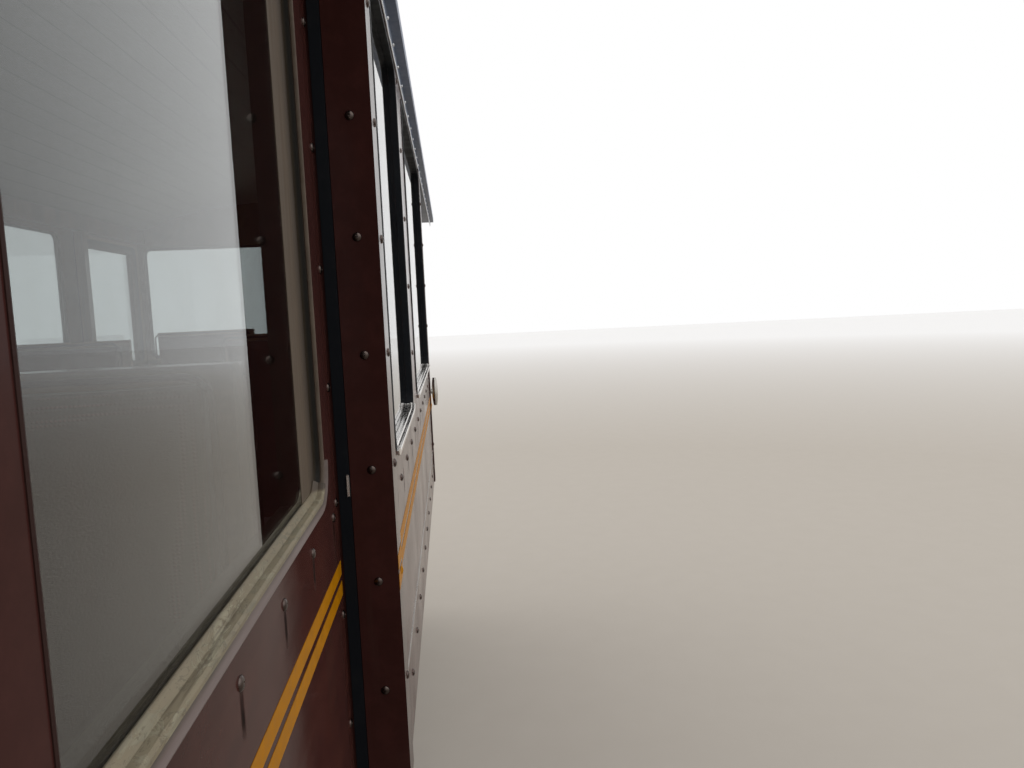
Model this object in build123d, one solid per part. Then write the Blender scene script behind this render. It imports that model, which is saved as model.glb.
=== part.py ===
from build123d import *
import math
import os

os.makedirs("parts", exist_ok=True)

# Bogie passenger coach for a 381 mm gauge miniature railway, in millimetres.
# +X is forward along the track, +Y is left and +Z is up. The origin lies under the
# middle of the coach, level with the lowest point of the wheel flanges.

# Wheels and axles
track_gauge = 381.0
wheel_diameter = 280.0
flange_depth = 13.0
flange_width = 12.0
flange_play = 4.0
tread_width = 50.0
tread_cone = 2.5
rim_thickness = 24.0
web_thickness = 14.0
hub_diameter = 84.0
hub_overhang = 6.0
axle_diameter = 50.0
journal_diameter = 36.0
journal_clearance = 0.5
journal_end_gap = 4.0

# Bogies
bogie_centres = 4400.0
bogie_wheelbase = 800.0
bogie_plate = 16.0
bogie_plate_gap = 14.0
bogie_end_overhang = 206.0
bearing_height = 21.5
bogie_waist = 205.0
horn_foot = 92.0
horn_cheek = 22.0
axlebox_width = 90.0
axlebox_height = 90.0
axlebox_reach = 54.0
axlebox_travel = 16.0
bolster_width = 220.0
bolster_depth = 75.0
end_bar_diameter = 32.0
end_bar_drop = 55.0
centre_plate_diameter = 170.0
centre_plate_height = 18.0
pivot_pin_diameter = 40.0
pivot_clearance = 0.5
spring_width = 40.0
spring_leaf = 7.0
spring_camber = 26.0
spring_half_lengths = (170.0, 136.0, 102.0, 68.0)
spring_buckle = 46.0
spring_gap = 4.0
spring_headroom = 38.0
shoe_length = 30.0
shoe_gap = 0.3

# Body plan: recessed door bays and proud saloon sections follow each other along the side
bay_length = 1265.0
proud_length = 1320.0
proud_count = 2
proud_half_width = 610.0
bay_recess = 47.0
turn_under = 44.0
wall = 28.0
board = 28.0

# Heights above the rail, the floor's own following from the wheels, springs and frame
skirt_bottom = 302.0
panel_edge_height = 811.0
sill_height = 1100.0
bay_sill_height = 1095.0
crown_height = 1713.0

# Underframe
floor_thickness = 20.0
solebar_height = 80.0
solebar_flange = 46.0
solebar_thickness = 8.0
cross_member_width = 60.0
bogie_beam_width = 180.0
cross_member_places = (-1100.0, 0.0, 1100.0)
headstock_thickness = 60.0

# Doors
door_opening = 660.0
door_post = 50.0
door_gap = 6.0
stop_gap = 5.0
post_lip = 8.0
post_depth = 28.0
cantrail_height = 50.0
door_header = 35.0
door_window_stile = 84.0
hinge_axis_gap = 6.0
hinge_knuckle_diameter = 11.0
hinge_knuckle_height = 26.0
hinge_knuckle_gap = 0.4
hinge_plate_gap = 1.5
hinge_strap = 3.0
hinge_strap_length = 46.0
hinge_inset = 70.0
handle_inset = 58.0
handle_height = 1023.0
handle_rose_diameter = 38.0
handle_rose_thickness = 4.0
handle_spindle_diameter = 12.0
handle_stand_off = 65.0
handle_lever_length = 74.0
handle_lever_width = 16.0
handle_lever_end = 9.0

# Windows
window_corner = 28.0
window_header = 65.0
proud_window_header = 30.0
small_window_margin = 71.0
small_window_width = 371.0
proud_pillar = 143.0
large_window_margin = 48.0
bay_pillar = 73.5
bay_window_margin = 57.0
end_window_margin = 45.0
end_window_pillar = 70.0
glass_thickness = 6.0
glass_setback = 18.0
glass_fit = 0.3
sill_rail_height = 14.0
sill_rail_proud = 5.0
sill_rail_rib = 3.0
sash_setback = 7.5
sash_glass_setback = 10.0
sash_front_stile = 55.0
sash_rear_stile = 6.0
sash_bottom_rail = 6.0
sash_top_rail = 30.0

# Roof, gutters and corner angles
roof_rise = 116.0
eave_overhang = 15.0
roof_end_overhang = 16.0
roof_edge = 18.0
roof_thickness = 18.0
eave_seat = 101.0
gutter_thickness = 2.5
gutter_height = 16.0
angle_leg = 40.0
angle_thickness = 2.5
seal_width = 13.0

# Seats
seat_width = 370.0
seat_wall_gap = 8.0
seat_depth = 400.0
seat_entry_gap = 117.0
seat_board = 18.0
seat_board_height = 690.0
seat_back_top = 1200.0
seat_back_board = 16.0
cushion_thickness = 70.0
back_cushion_thickness = 45.0
cushion_gap = 0.4

# Couplers
coupler_height = 345.0
coupler_width = 90.0
coupler_depth = 96.0
coupler_length = 110.0
coupler_jaw = 30.0
coupler_jaw_depth = 74.0
coupler_nose = 28.0
coupler_pin_diameter = 22.0
coupler_pin_inset = 38.0
coupler_flange = 12.0
coupler_flange_margin = 18.0

# Brake gear under the floor
reservoir_diameter = 190.0
reservoir_length = 640.0
reservoir_dome = 40.0
reservoir_x = -560.0
saddle_length = 50.0
saddle_half_width = 70.0
saddle_inset = 120.0
brake_cylinder_diameter = 230.0
brake_cylinder_height = 190.0
brake_cylinder_x = 560.0
brake_cylinder_flange = 16.0
brake_rod_diameter = 26.0
brake_rod_length = 60.0

# Places worked out from the sizes above
wheel_radius = wheel_diameter / 2
flange_radius = wheel_radius + flange_depth
axle_z = flange_radius
body_length = proud_count * proud_length + (proud_count + 1) * bay_length
body_half_length = body_length / 2
pitch = bay_length + proud_length
bay_starts = [-body_half_length + i * pitch for i in range(proud_count + 1)]
proud_starts = [x + bay_length for x in bay_starts[:-1]]
inner_half_length = body_half_length - wall
bay_half_width = proud_half_width - bay_recess
lower_half_width = bay_half_width - turn_under
eave_half_width = proud_half_width + eave_overhang
leaf_thickness = wall - stop_gap

axlebox_top = axle_z + axlebox_height / 2
spring_top = axlebox_top + spring_leaf * len(spring_half_lengths) + spring_camber
bogie_top = spring_top + spring_headroom
bearing_top = bogie_top + bearing_height
frame_bottom_z = bearing_top + pivot_clearance + centre_plate_height
floor_bottom_z = frame_bottom_z + solebar_height
floor_z = floor_bottom_z + floor_thickness
skirt_z = flange_depth + skirt_bottom
panel_z = flange_depth + panel_edge_height
turn_z = panel_z - turn_under
sill_z = flange_depth + sill_height
bay_sill_z = flange_depth + bay_sill_height
crown_z = flange_depth + crown_height
soffit_z = crown_z - roof_rise
window_top_z = soffit_z - window_header
proud_window_top_z = soffit_z - proud_window_header
door_head_z = soffit_z - door_header
cantrail_z = soffit_z - cantrail_height
gutter_z = soffit_z - gutter_height
seat_board_z = flange_depth + seat_board_height
seat_back_z = flange_depth + seat_back_top
coupler_z = flange_depth + coupler_height

small_window_end = small_window_margin + small_window_width
large_window_start = small_window_end + proud_pillar
large_window_end = proud_length - large_window_margin
bay_window_start = door_post + door_opening + bay_pillar
bay_window_end = bay_length - bay_window_margin
post_cover = door_post - wall
bay_seat_start = door_post + door_opening + post_cover + seat_entry_gap
bay_seat_depth = bay_length - seat_back_board - bay_seat_start


def block(x_span, y_span, z_span):
    """Rectangular block between two values on each axis."""
    low = (x_span[0], y_span[0], z_span[0])
    size = (x_span[1] - x_span[0], y_span[1] - y_span[0], z_span[1] - z_span[0])
    return Pos(*low) * Box(*size, align=(Align.MIN, Align.MIN, Align.MIN))


def along_x(face, x_span):
    """Extrude a face drawn with Y across and Z up between two X values."""
    return Pos(x_span[0], 0, 0) * extrude(Plane.YZ * face, amount=x_span[1] - x_span[0])


def along_y(face, y_span):
    """Extrude a face drawn with X across and Z up between two Y values."""
    return Pos(0, y_span[1], 0) * extrude(Plane.XZ * face, amount=y_span[1] - y_span[0])


def outline(points):
    """Face inside straight lines through the points."""
    return make_face(Polyline(*points, close=True))


def post_cylinder(x, y, z_span, diameter):
    """Upright cylinder."""
    height = z_span[1] - z_span[0]
    align = (Align.CENTER, Align.CENTER, Align.MIN)
    return Pos(x, y, z_span[0]) * Cylinder(diameter / 2, height, align=align)


def cross_cylinder(x, y_span, z, diameter):
    """Cylinder that lies across the track."""
    align = (Align.CENTER, Align.CENTER, Align.MIN)
    bar = Cylinder(diameter / 2, y_span[1] - y_span[0], align=align)
    return Pos(x, y_span[1], z) * Rot(90, 0, 0) * bar


def other_side(piece):
    """The same piece on the right of the coach."""
    return mirror(piece, about=Plane.XZ)


def both_sides(pieces):
    """Pieces of the left side with their mirror images."""
    return [*pieces, *[other_side(piece) for piece in pieces]]


def save(node, pieces):
    """Write the solids of one node to its own file."""
    solids = [solid for piece in pieces for solid in piece.solids()]
    export_step(Compound(solids), f"parts/{node}.step")


def side_y(z):
    """Half width of the door bays at a height: upright, then turned under, then upright."""
    if z >= panel_z:
        return bay_half_width
    if z <= turn_z:
        return lower_half_width
    return lower_half_width + turn_under * (z - turn_z) / (panel_z - turn_z)


def side_layer(depth, thickness, z_span):
    """Section of a layer of the side, at a depth behind its outer face."""
    bends = [z for z in (panel_z, turn_z) if z_span[0] < z < z_span[1]]
    levels = [z_span[1], *bends, z_span[0]]
    outer = [(side_y(z) - depth, z) for z in levels]
    inner = [(y - thickness, z) for y, z in reversed(outer)]
    return outline(outer + inner)


def window_opening(x_span, y_span, z_span, shrink=0.0):
    """Rounded block that fills a side window between two Y planes, less a margin all round."""
    width = x_span[1] - x_span[0] - 2 * shrink
    height = z_span[1] - z_span[0] - 2 * shrink
    face = RectangleRounded(width, height, window_corner - shrink)
    centre = ((x_span[0] + x_span[1]) / 2, (z_span[0] + z_span[1]) / 2)
    return along_y(Pos(*centre) * face, y_span)


def end_window_opening(y_span, x_span, shrink=0.0):
    """Rounded block that fills an end window between two X planes, less a margin all round."""
    width = y_span[1] - y_span[0] - 2 * shrink
    height = window_top_z - sill_z - 2 * shrink
    face = RectangleRounded(width, height, window_corner - shrink)
    centre = ((y_span[0] + y_span[1]) / 2, (sill_z + window_top_z) / 2)
    return along_x(Pos(*centre) * face, x_span)


def sash_light(window, y_span, shrink=0.0):
    """Block that fills the clear opening of a bay window's sash, less a margin all round."""
    x_span = (window[0] + sash_rear_stile + shrink, window[1] - sash_front_stile - shrink)
    z_span = (bay_sill_z + sash_bottom_rail + shrink, window_top_z - sash_top_rail - shrink)
    return block(x_span, y_span, z_span) & window_opening(window, y_span, bay_window_z, sash_rear_stile + shrink)


def pane_span(face_y, setback):
    """Y planes of a pane set back from the outer face of its panel."""
    return (face_y - setback - glass_thickness, face_y - setback)


# Door openings and windows of one side, each as (start, end) along X
door_spans = [(x + door_post, x + door_post + door_opening) for x in bay_starts]
bay_windows = [(x + bay_window_start, x + bay_window_end) for x in bay_starts]
small_windows = [(x + small_window_margin, x + small_window_end) for x in proud_starts]
large_windows = [(x + large_window_start, x + large_window_end) for x in proud_starts]
proud_windows = small_windows + large_windows

# Heights of the same windows as (sill, top)
door_window_z = (sill_z, window_top_z)
bay_window_z = (bay_sill_z, window_top_z)
proud_window_z = (sill_z, proud_window_top_z)


# Floor and underframe
def make_floor():
    span = inner_half_length - (headstock_thickness - wall)
    return [block((-span, span), (-lower_half_width + wall, lower_half_width - wall), (floor_bottom_z, floor_z))]


def make_solebar():
    """Channel with its open side towards the middle of the coach."""
    outer_y = lower_half_width - wall
    span = body_half_length - headstock_thickness
    bar = block((-span, span), (outer_y - solebar_flange, outer_y), (frame_bottom_z, floor_bottom_z))
    hollow = block(
        (-span, span),
        (outer_y - solebar_flange, outer_y - solebar_thickness),
        (frame_bottom_z + solebar_thickness, floor_bottom_z - solebar_thickness),
    )
    return bar - hollow


def make_cross_members():
    """Beams from solebar to solebar, wider ones over the bogies."""
    end_y = lower_half_width - wall - solebar_flange
    beams = [(x, cross_member_width) for x in cross_member_places]
    beams += [(x, bogie_beam_width) for x in (-bogie_centres / 2, bogie_centres / 2)]
    z_span = (frame_bottom_z, floor_bottom_z)
    return [block((x - width / 2, x + width / 2), (-end_y, end_y), z_span) for x, width in beams]


def make_headstock(end):
    inner = end * (body_half_length - headstock_thickness)
    outer = end * body_half_length
    half = lower_half_width - wall
    return block(sorted((inner, outer)), (-half, half), (skirt_z, floor_z))


def make_centre_plates():
    """Rings under the bogie beams that the pivot pins turn in."""
    z_span = (frame_bottom_z - centre_plate_height, frame_bottom_z)
    hole = pivot_pin_diameter + 2 * pivot_clearance
    plates = []
    for x in (-bogie_centres / 2, bogie_centres / 2):
        ring = post_cylinder(x, 0, z_span, centre_plate_diameter)
        plates.append(ring - post_cylinder(x, 0, z_span, hole))
    return plates


# Lower body: skirts along the whole coach, with turned-under panels between the doors
def make_skirt():
    y_span = (lower_half_width - wall, lower_half_width)
    return block((-body_half_length, body_half_length), y_span, (skirt_z, floor_z))


def make_lower_panels():
    starts = [-inner_half_length] + [span[1] for span in door_spans]
    ends = [span[0] for span in door_spans] + [inner_half_length]
    section = side_layer(0, wall, (floor_z, panel_z))
    return [along_x(section, span) for span in zip(starts, ends)]


# Upper body: trays that stand proud of the bays, and flat bay panels round the doors
def make_proud_section(start):
    """Tray with its floor on the lower panel, open inwards and upwards, with both windows cut."""
    inner_y = bay_half_width - wall
    skin_y = proud_half_width - wall
    span = (start, start + proud_length)
    tray = block(span, (inner_y, proud_half_width), (panel_z, soffit_z))
    room = block((span[0] + wall, span[1] - wall), (inner_y, skin_y), (panel_z + board, soffit_z))
    tray -= room
    for window in proud_windows:
        if span[0] < window[0] < span[1]:
            tray -= window_opening(window, (skin_y, proud_half_width), proud_window_z)
    return tray


def make_bay_panel(index):
    """Flat panel over one bay, cut for its door and its fixed window."""
    low = max(bay_starts[index], -inner_half_length)
    high = min(bay_starts[index] + bay_length, inner_half_length)
    y_span = (bay_half_width - wall, bay_half_width)
    panel = block((low, high), y_span, (panel_z, soffit_z))
    panel -= block(door_spans[index], y_span, (panel_z, door_head_z))
    return panel - window_opening(bay_windows[index], y_span, bay_window_z)


def make_door_posts():
    """Posts behind both edges of each door, with a lip that the leaf shuts against."""
    section = side_layer(wall, post_depth, (floor_z, cantrail_z))
    posts = []
    for start, end in door_spans:
        posts.append(along_x(section, (start - post_cover, start + post_lip)))
        posts.append(along_x(section, (end - post_lip, end + post_cover)))
    return posts


def make_cantrail():
    face_y = bay_half_width - wall
    return block((-inner_half_length, inner_half_length), (face_y - post_depth, face_y), (cantrail_z, soffit_z))


# Roof
def roof_arch():
    """Area under the inner curve of the roof."""
    half = eave_half_width - eave_seat
    top = crown_z - roof_thickness
    curve = ThreePointArc((half, soffit_z), (0, top), (-half, soffit_z))
    return make_face(curve + Line((-half, soffit_z), (half, soffit_z)))


def make_roof():
    edge_z = soffit_z + roof_edge
    half = eave_half_width
    edges = ThreePointArc((half, edge_z), (0, crown_z), (-half, edge_z))
    edges += Line((-half, edge_z), (-half, soffit_z))
    edges += Line((-half, soffit_z), (half, soffit_z))
    edges += Line((half, soffit_z), (half, edge_z))
    span = (-body_half_length - roof_end_overhang, body_half_length + roof_end_overhang)
    return along_x(make_face(edges), span) - along_x(roof_arch(), span)


def make_gutter():
    """Drip rail under the eave, in line with the proud panels."""
    y_span = (proud_half_width, proud_half_width + gutter_thickness)
    return block((-body_half_length, body_half_length), y_span, (gutter_z, soffit_z))


# Ends
def end_windows():
    """Both windows of an end as (start, end) along Y."""
    outer = bay_half_width - end_window_margin
    inner = end_window_pillar / 2
    return [(-outer, -inner), (inner, outer)]


def make_end_wall(end):
    half = [(side_y(z), z) for z in (soffit_z, panel_z, turn_z, floor_z)]
    section = outline(half + [(-y, z) for y, z in reversed(half)])
    span = sorted((end * inner_half_length, end * body_half_length))
    wall_plate = along_x(section, span) + along_x(roof_arch(), span)
    for window in end_windows():
        wall_plate -= end_window_opening(window, span)
    return wall_plate


def make_end_glass():
    panes = []
    for end in (-1, 1):
        outer = end * (body_half_length - glass_setback)
        inner = outer - end * glass_thickness
        span = sorted((inner, outer))
        panes += [end_window_opening(window, span, glass_fit) for window in end_windows()]
    return panes


# Cover angles at the corners of the proud sections and of the coach
def make_corner_angles():
    """Columns: corner along X, outer face, side along X that the long leg lies on, reach inwards."""
    reach_in = bay_recess - seal_width
    table = [(x, proud_half_width, 1, reach_in) for x in proud_starts]
    table += [(x + proud_length, proud_half_width, -1, reach_in) for x in proud_starts]
    table += [(-body_half_length, bay_half_width, 1, angle_leg), (body_half_length, bay_half_width, -1, angle_leg)]
    angles = []
    for x, face_y, side, reach in table:
        corner = [
            (x - side * angle_thickness, face_y + angle_thickness),
            (x + side * angle_leg, face_y + angle_thickness),
            (x + side * angle_leg, face_y),
            (x, face_y),
            (x, face_y - reach),
            (x - side * angle_thickness, face_y - reach),
        ]
        angles.append(Pos(0, 0, panel_z) * extrude(outline(corner), amount=gutter_z - panel_z, dir=(0, 0, 1)))
    return angles


# Side windows
def make_side_glass():
    """Panes of the proud windows and, inside their sashes, of the bay windows."""
    proud_span = pane_span(proud_half_width, glass_setback)
    bay_span = pane_span(bay_half_width, sash_glass_setback)
    panes = [window_opening(window, proud_span, proud_window_z, glass_fit) for window in proud_windows]
    return panes + [sash_light(window, bay_span, glass_fit) for window in bay_windows]


def make_sill_rails():
    """Ribbed channels on the sills of the proud windows, in front of the glass."""
    face_y = proud_half_width + sill_rail_proud
    back_y = pane_span(proud_half_width, glass_setback)[1] + glass_fit
    groove = (face_y - back_y - 3 * sill_rail_rib) / 2
    rails = []
    for start, end in proud_windows:
        span = (start + window_corner, end - window_corner)
        rail = block(span, (back_y, face_y), (sill_z, sill_z + sill_rail_height))
        for i in range(2):
            low_y = back_y + sill_rail_rib + i * (groove + sill_rail_rib)
            z_span = (sill_z + sill_rail_rib, sill_z + sill_rail_height)
            rail -= block(span, (low_y, low_y + groove), z_span)
        rails.append(rail)
    return rails


def make_window_liners():
    """Wooden sash frames that fill the openings of the bay windows, widest at the front."""
    y_span = (bay_half_width - wall, bay_half_width - sash_setback)
    return [window_opening(window, y_span, bay_window_z) - sash_light(window, y_span) for window in bay_windows]


# Doors
def leaf_span(index):
    start, end = door_spans[index]
    return (start + door_gap, end - door_gap)


def door_window(index):
    start, end = leaf_span(index)
    return (start + door_window_stile, end - door_window_stile)


def hinge_places(index):
    """Axis of a door at its front edge, and the two heights of its hinges."""
    x = leaf_span(index)[1] + door_gap / 2
    y = bay_half_width + hinge_axis_gap
    return x, y, (panel_z + hinge_inset, door_head_z - hinge_inset)


def make_leaf(index):
    """Leaf that follows the bent side, with its window cut and a knuckle at each hinge."""
    span = leaf_span(index)
    z_span = (floor_z + door_gap, door_head_z - door_gap)
    leaf = along_x(side_layer(0, leaf_thickness, z_span), span)
    leaf -= window_opening(door_window(index), (bay_half_width - wall, bay_half_width), door_window_z)
    x, y, heights = hinge_places(index)
    for z in heights:
        tall = (z - hinge_knuckle_height / 2, z + hinge_knuckle_height / 2)
        strap_y = (bay_half_width, bay_half_width + hinge_strap)
        leaf += block((span[1] - hinge_strap_length, x), strap_y, tall)
        leaf += post_cylinder(x, y, tall, hinge_knuckle_diameter)
    return leaf


def make_fixed_hinges(index):
    """Fixed knuckles above and below each knuckle of the leaf, on one plate in front of the door."""
    span = leaf_span(index)
    x, y, heights = hinge_places(index)
    plate_start = max(span[1] + door_gap, x + hinge_knuckle_diameter / 2 + hinge_plate_gap)
    strap_y = (bay_half_width, bay_half_width + hinge_strap)
    reach = hinge_knuckle_height / 2 + hinge_knuckle_gap
    hinges = []
    for z in heights:
        ends = (z - reach - hinge_knuckle_height, z + reach + hinge_knuckle_height)
        hinge = block((plate_start, plate_start + hinge_strap_length), strap_y, ends)
        for tall in ((ends[0], z - reach), (z + reach, ends[1])):
            hinge += block((x, plate_start), strap_y, tall)
            hinge += post_cylinder(x, y, tall, hinge_knuckle_diameter)
        hinges.append(hinge)
    return hinges


def make_door_glass(index):
    face_y = bay_half_width - (leaf_thickness - glass_thickness) / 2
    return window_opening(door_window(index), (face_y - glass_thickness, face_y), door_window_z, glass_fit)


def make_handle(index):
    """Tee handle: a round rose, a spindle, and an upright lever that is fullest at its middle."""
    x = leaf_span(index)[0] + handle_inset
    z = flange_depth + handle_height
    tip_y = bay_half_width + handle_stand_off
    rose = cross_cylinder(x, (bay_half_width, bay_half_width + handle_rose_thickness), z, handle_rose_diameter)
    spindle = cross_cylinder(x, (bay_half_width, tip_y - handle_lever_end / 2), z, handle_spindle_diameter)
    half = handle_lever_length / 2
    side = ThreePointArc((handle_lever_end / 2, -half), (handle_lever_width / 2, 0), (handle_lever_end / 2, half))
    edges = side + Line((handle_lever_end / 2, half), (0, half))
    edges += Line((0, half), (0, -half))
    edges += Line((0, -half), (handle_lever_end / 2, -half))
    lever = revolve(Plane.XZ * make_face(edges), Axis.Z)
    return rose + spindle + Pos(x, tip_y - handle_lever_width / 2, z) * lever


# Seats, one on each side of the gangway in every row
def seat_rows():
    """Rows as (x of the back, direction that the sitter faces, depth of the seat)."""
    rows = []
    for start in bay_starts:
        rows.append((min(start + bay_length, inner_half_length), -1, bay_seat_depth))
    for start in proud_starts:
        rows += [(start, 1, seat_depth), (start + proud_length, -1, seat_depth)]
    return rows


def seat_y():
    outer = lower_half_width - wall - seat_wall_gap
    return (outer - seat_width, outer)


def row_block(back_x, facing, depths, y_span, z_span):
    """Block at depths measured from the back of a row in the direction that it faces."""
    ends = sorted((back_x + facing * depths[0], back_x + facing * depths[1]))
    return block(ends, y_span, z_span)


def make_seat_back_board(back_x, facing):
    return row_block(back_x, facing, (0, seat_back_board), seat_y(), (floor_z, seat_back_z))


def make_seat_base(back_x, facing, depth):
    """Seat board on a side panel at each edge."""
    y_span = seat_y()
    deep = (seat_back_board, seat_back_board + depth)
    base = row_block(back_x, facing, deep, y_span, (seat_board_z - seat_board, seat_board_z))
    for low in (y_span[0], y_span[1] - seat_board):
        base += row_block(back_x, facing, deep, (low, low + seat_board), (floor_z, seat_board_z))
    return base


def make_seat_cushion(back_x, facing, depth):
    near = seat_back_board + back_cushion_thickness + 2 * cushion_gap
    depths = (near, seat_back_board + depth)
    z_span = (seat_board_z + cushion_gap, seat_board_z + cushion_thickness)
    return row_block(back_x, facing, depths, seat_y(), z_span)


def make_back_cushion(back_x, facing):
    near = seat_back_board + cushion_gap
    depths = (near, near + back_cushion_thickness)
    return row_block(back_x, facing, depths, seat_y(), (seat_board_z + cushion_gap, seat_back_z))


# Couplers
def make_coupler(end):
    """Pocket coupler: a flange on the headstock and a jaw with an upright pin hole."""
    start = end * body_half_length
    tip = start + end * coupler_length
    half_y = coupler_width / 2
    z_span = (coupler_z - coupler_depth / 2, coupler_z + coupler_depth / 2)
    nose = start + end * (coupler_length - coupler_nose)
    plan = [(start, half_y), (nose, half_y), (tip, half_y - coupler_nose / 2)]
    plan += [(x, -y) for x, y in reversed(plan)]
    body = Pos(0, 0, z_span[0]) * extrude(outline(plan), amount=coupler_depth, dir=(0, 0, 1))
    jaw_span = sorted((tip - end * coupler_jaw_depth, tip))
    jaw_z = (coupler_z - coupler_jaw / 2, coupler_z + coupler_jaw / 2)
    body -= block(jaw_span, (-half_y, half_y), jaw_z)
    body -= post_cylinder(tip - end * coupler_pin_inset, 0, z_span, coupler_pin_diameter)
    margin = coupler_flange_margin
    flange_z = (z_span[0] - margin, z_span[1] + margin)
    flange_x = sorted((start, start + end * coupler_flange))
    return body + block(flange_x, (-half_y - margin, half_y + margin), flange_z)


# Brake gear
def make_reservoir():
    """Air tank with domed ends, held up by two saddles."""
    half = reservoir_length / 2
    radius = reservoir_diameter / 2
    z = frame_bottom_z - radius
    dome_radius = (radius**2 + reservoir_dome**2) / (2 * reservoir_dome)
    dome_turn = math.asin(radius / dome_radius) / 2
    crown_x = half - dome_radius * (1 - math.cos(dome_turn))
    crown_y = dome_radius * math.sin(dome_turn)
    straight = half - reservoir_dome
    edges = Line((-half, 0), (half, 0))
    edges += ThreePointArc((half, 0), (crown_x, crown_y), (straight, radius))
    edges += Line((straight, radius), (-straight, radius))
    edges += ThreePointArc((-straight, radius), (-crown_x, crown_y), (-half, 0))
    tank = Pos(reservoir_x, 0, z) * revolve(make_face(edges), Axis.X)
    for side in (-1, 1):
        x = reservoir_x + side * (half - saddle_inset)
        x_span = (x - saddle_length / 2, x + saddle_length / 2)
        tank += block(x_span, (-saddle_half_width, saddle_half_width), (z, floor_bottom_z))
    return tank


def make_brake_cylinder():
    """Upright cylinder with a bolting flange under the floor and its rod below."""
    z_top = floor_bottom_z
    z_low = z_top - brake_cylinder_height
    x = brake_cylinder_x
    body = post_cylinder(x, 0, (z_low, z_top), brake_cylinder_diameter)
    flange = post_cylinder(x, 0, (z_top - brake_cylinder_flange, z_top), brake_cylinder_diameter + 2 * board)
    rod = post_cylinder(x, 0, (z_low - brake_rod_length, z_low), brake_rod_diameter)
    return body + flange + rod


# Bogies
wheel_back = track_gauge / 2 - flange_play - flange_width
wheel_face = wheel_back + flange_width + tread_width
plate_y = (wheel_face + bogie_plate_gap, wheel_face + bogie_plate_gap + bogie_plate)
axlebox_y = (plate_y[0], plate_y[1] + axlebox_reach)
axle_end = axlebox_y[1] - journal_end_gap - bogie_plate / 2
spring_y = (plate_y[1] + spring_gap, plate_y[1] + spring_gap + spring_width)


def make_wheelset(x):
    """Axle and both wheels as one turned body: coned treads, flanges, plate webs and hubs."""
    web_middle = (wheel_back + wheel_face) / 2
    rim_inner = wheel_radius - rim_thickness
    hub = hub_diameter / 2
    half = [
        (0, axle_diameter / 2),
        (wheel_back - hub_overhang, axle_diameter / 2),
        (wheel_back - hub_overhang, hub),
        (web_middle - web_thickness / 2, hub + hub_overhang),
        (web_middle - web_thickness / 2, rim_inner - hub_overhang),
        (wheel_back, rim_inner),
        (wheel_back, flange_radius - flange_width / 3),
        (wheel_back + flange_width / 3, flange_radius),
        (wheel_back + flange_width * 2 / 3, flange_radius - flange_width / 6),
        (wheel_back + flange_width, wheel_radius + tread_cone / 2),
        (wheel_face, wheel_radius - tread_cone / 2),
        (wheel_face, rim_inner),
        (web_middle + web_thickness / 2, rim_inner - hub_overhang),
        (web_middle + web_thickness / 2, hub + hub_overhang),
        (wheel_face + hub_overhang, hub),
        (wheel_face + hub_overhang, journal_diameter / 2),
        (axle_end, journal_diameter / 2),
        (axle_end, 0),
    ]
    profile = [(-y, radius) for y, radius in reversed(half[1:])] + half[1:]
    return Pos(x, 0, axle_z) * revolve(Plane.YZ * outline(profile), Axis.Y)


def side_plate(centre):
    """Bogie side plate with a horn gap over each axle and sloped ends."""
    half_base = bogie_wheelbase / 2
    half_plate = half_base + bogie_end_overhang
    gap = axlebox_width / 2
    horn = gap + horn_cheek
    gap_top = axlebox_top + axlebox_travel
    shoulder = half_base + horn
    half = [
        (0, bogie_top),
        (half_base, bogie_top),
        (half_plate, bogie_top - horn_cheek),
        (half_plate, bogie_waist + horn_cheek),
        (shoulder + horn_cheek, bogie_waist),
        (shoulder, horn_foot),
        (half_base + gap, horn_foot),
        (half_base + gap, gap_top),
        (half_base - gap, gap_top),
        (half_base - gap, horn_foot),
        (half_base - horn, horn_foot),
        (half_base - horn - horn_cheek, bogie_waist),
    ]
    points = [(centre + x, z) for x, z in half[1:]] + [(centre - x, z) for x, z in reversed(half[1:])]
    return along_y(outline(points), plate_y)


def spring_shoes(centre):
    """Brackets on the side plate that the spring ends bear up against."""
    shoes = []
    for axle in (-bogie_wheelbase / 2, bogie_wheelbase / 2):
        for side in (-1, 1):
            x = centre + axle + side * (spring_half_lengths[0] - shoe_length / 4)
            x_span = (x - shoe_length / 2, x + shoe_length / 2)
            shoes.append(block(x_span, (plate_y[1], spring_y[1]), (spring_top + shoe_gap, bogie_top - horn_cheek / 2)))
    return shoes


def make_bogie_frame(centre):
    """Two side plates joined by the bolster and an end bar at each end, with the pivot on top."""
    frame = block(
        (centre - bolster_width / 2, centre + bolster_width / 2),
        (-plate_y[0], plate_y[0]),
        (bogie_top - bolster_depth, bogie_top),
    )
    for piece in both_sides([side_plate(centre), *spring_shoes(centre)]):
        frame += piece
    bar_x = bogie_wheelbase / 2 + bogie_end_overhang - end_bar_diameter / 2 - hub_overhang
    for side in (-1, 1):
        x = centre + side * bar_x
        frame += cross_cylinder(x, (-plate_y[0], plate_y[0]), bogie_top - end_bar_drop, end_bar_diameter)
    frame += post_cylinder(centre, 0, (bogie_top, bearing_top), centre_plate_diameter)
    pin_top = bearing_top + centre_plate_height
    return frame + post_cylinder(centre, 0, (bearing_top, pin_top), pivot_pin_diameter)


def make_axleboxes(centre):
    """Boxes in the horn gaps, bored for the journals from the inner side."""
    boxes = []
    bore_y = (axlebox_y[0], axle_end + journal_end_gap)
    for axle in (-bogie_wheelbase / 2, bogie_wheelbase / 2):
        x = centre + axle
        x_span = (x - axlebox_width / 2, x + axlebox_width / 2)
        box = block(x_span, axlebox_y, (axle_z - axlebox_height / 2, axlebox_top))
        box = chamfer(box.faces().sort_by(Axis.Y)[-1].edges(), axlebox_reach / 6)
        boxes.append(box - cross_cylinder(x, bore_y, axle_z, journal_diameter + 2 * journal_clearance))
    return both_sides(boxes)


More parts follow.
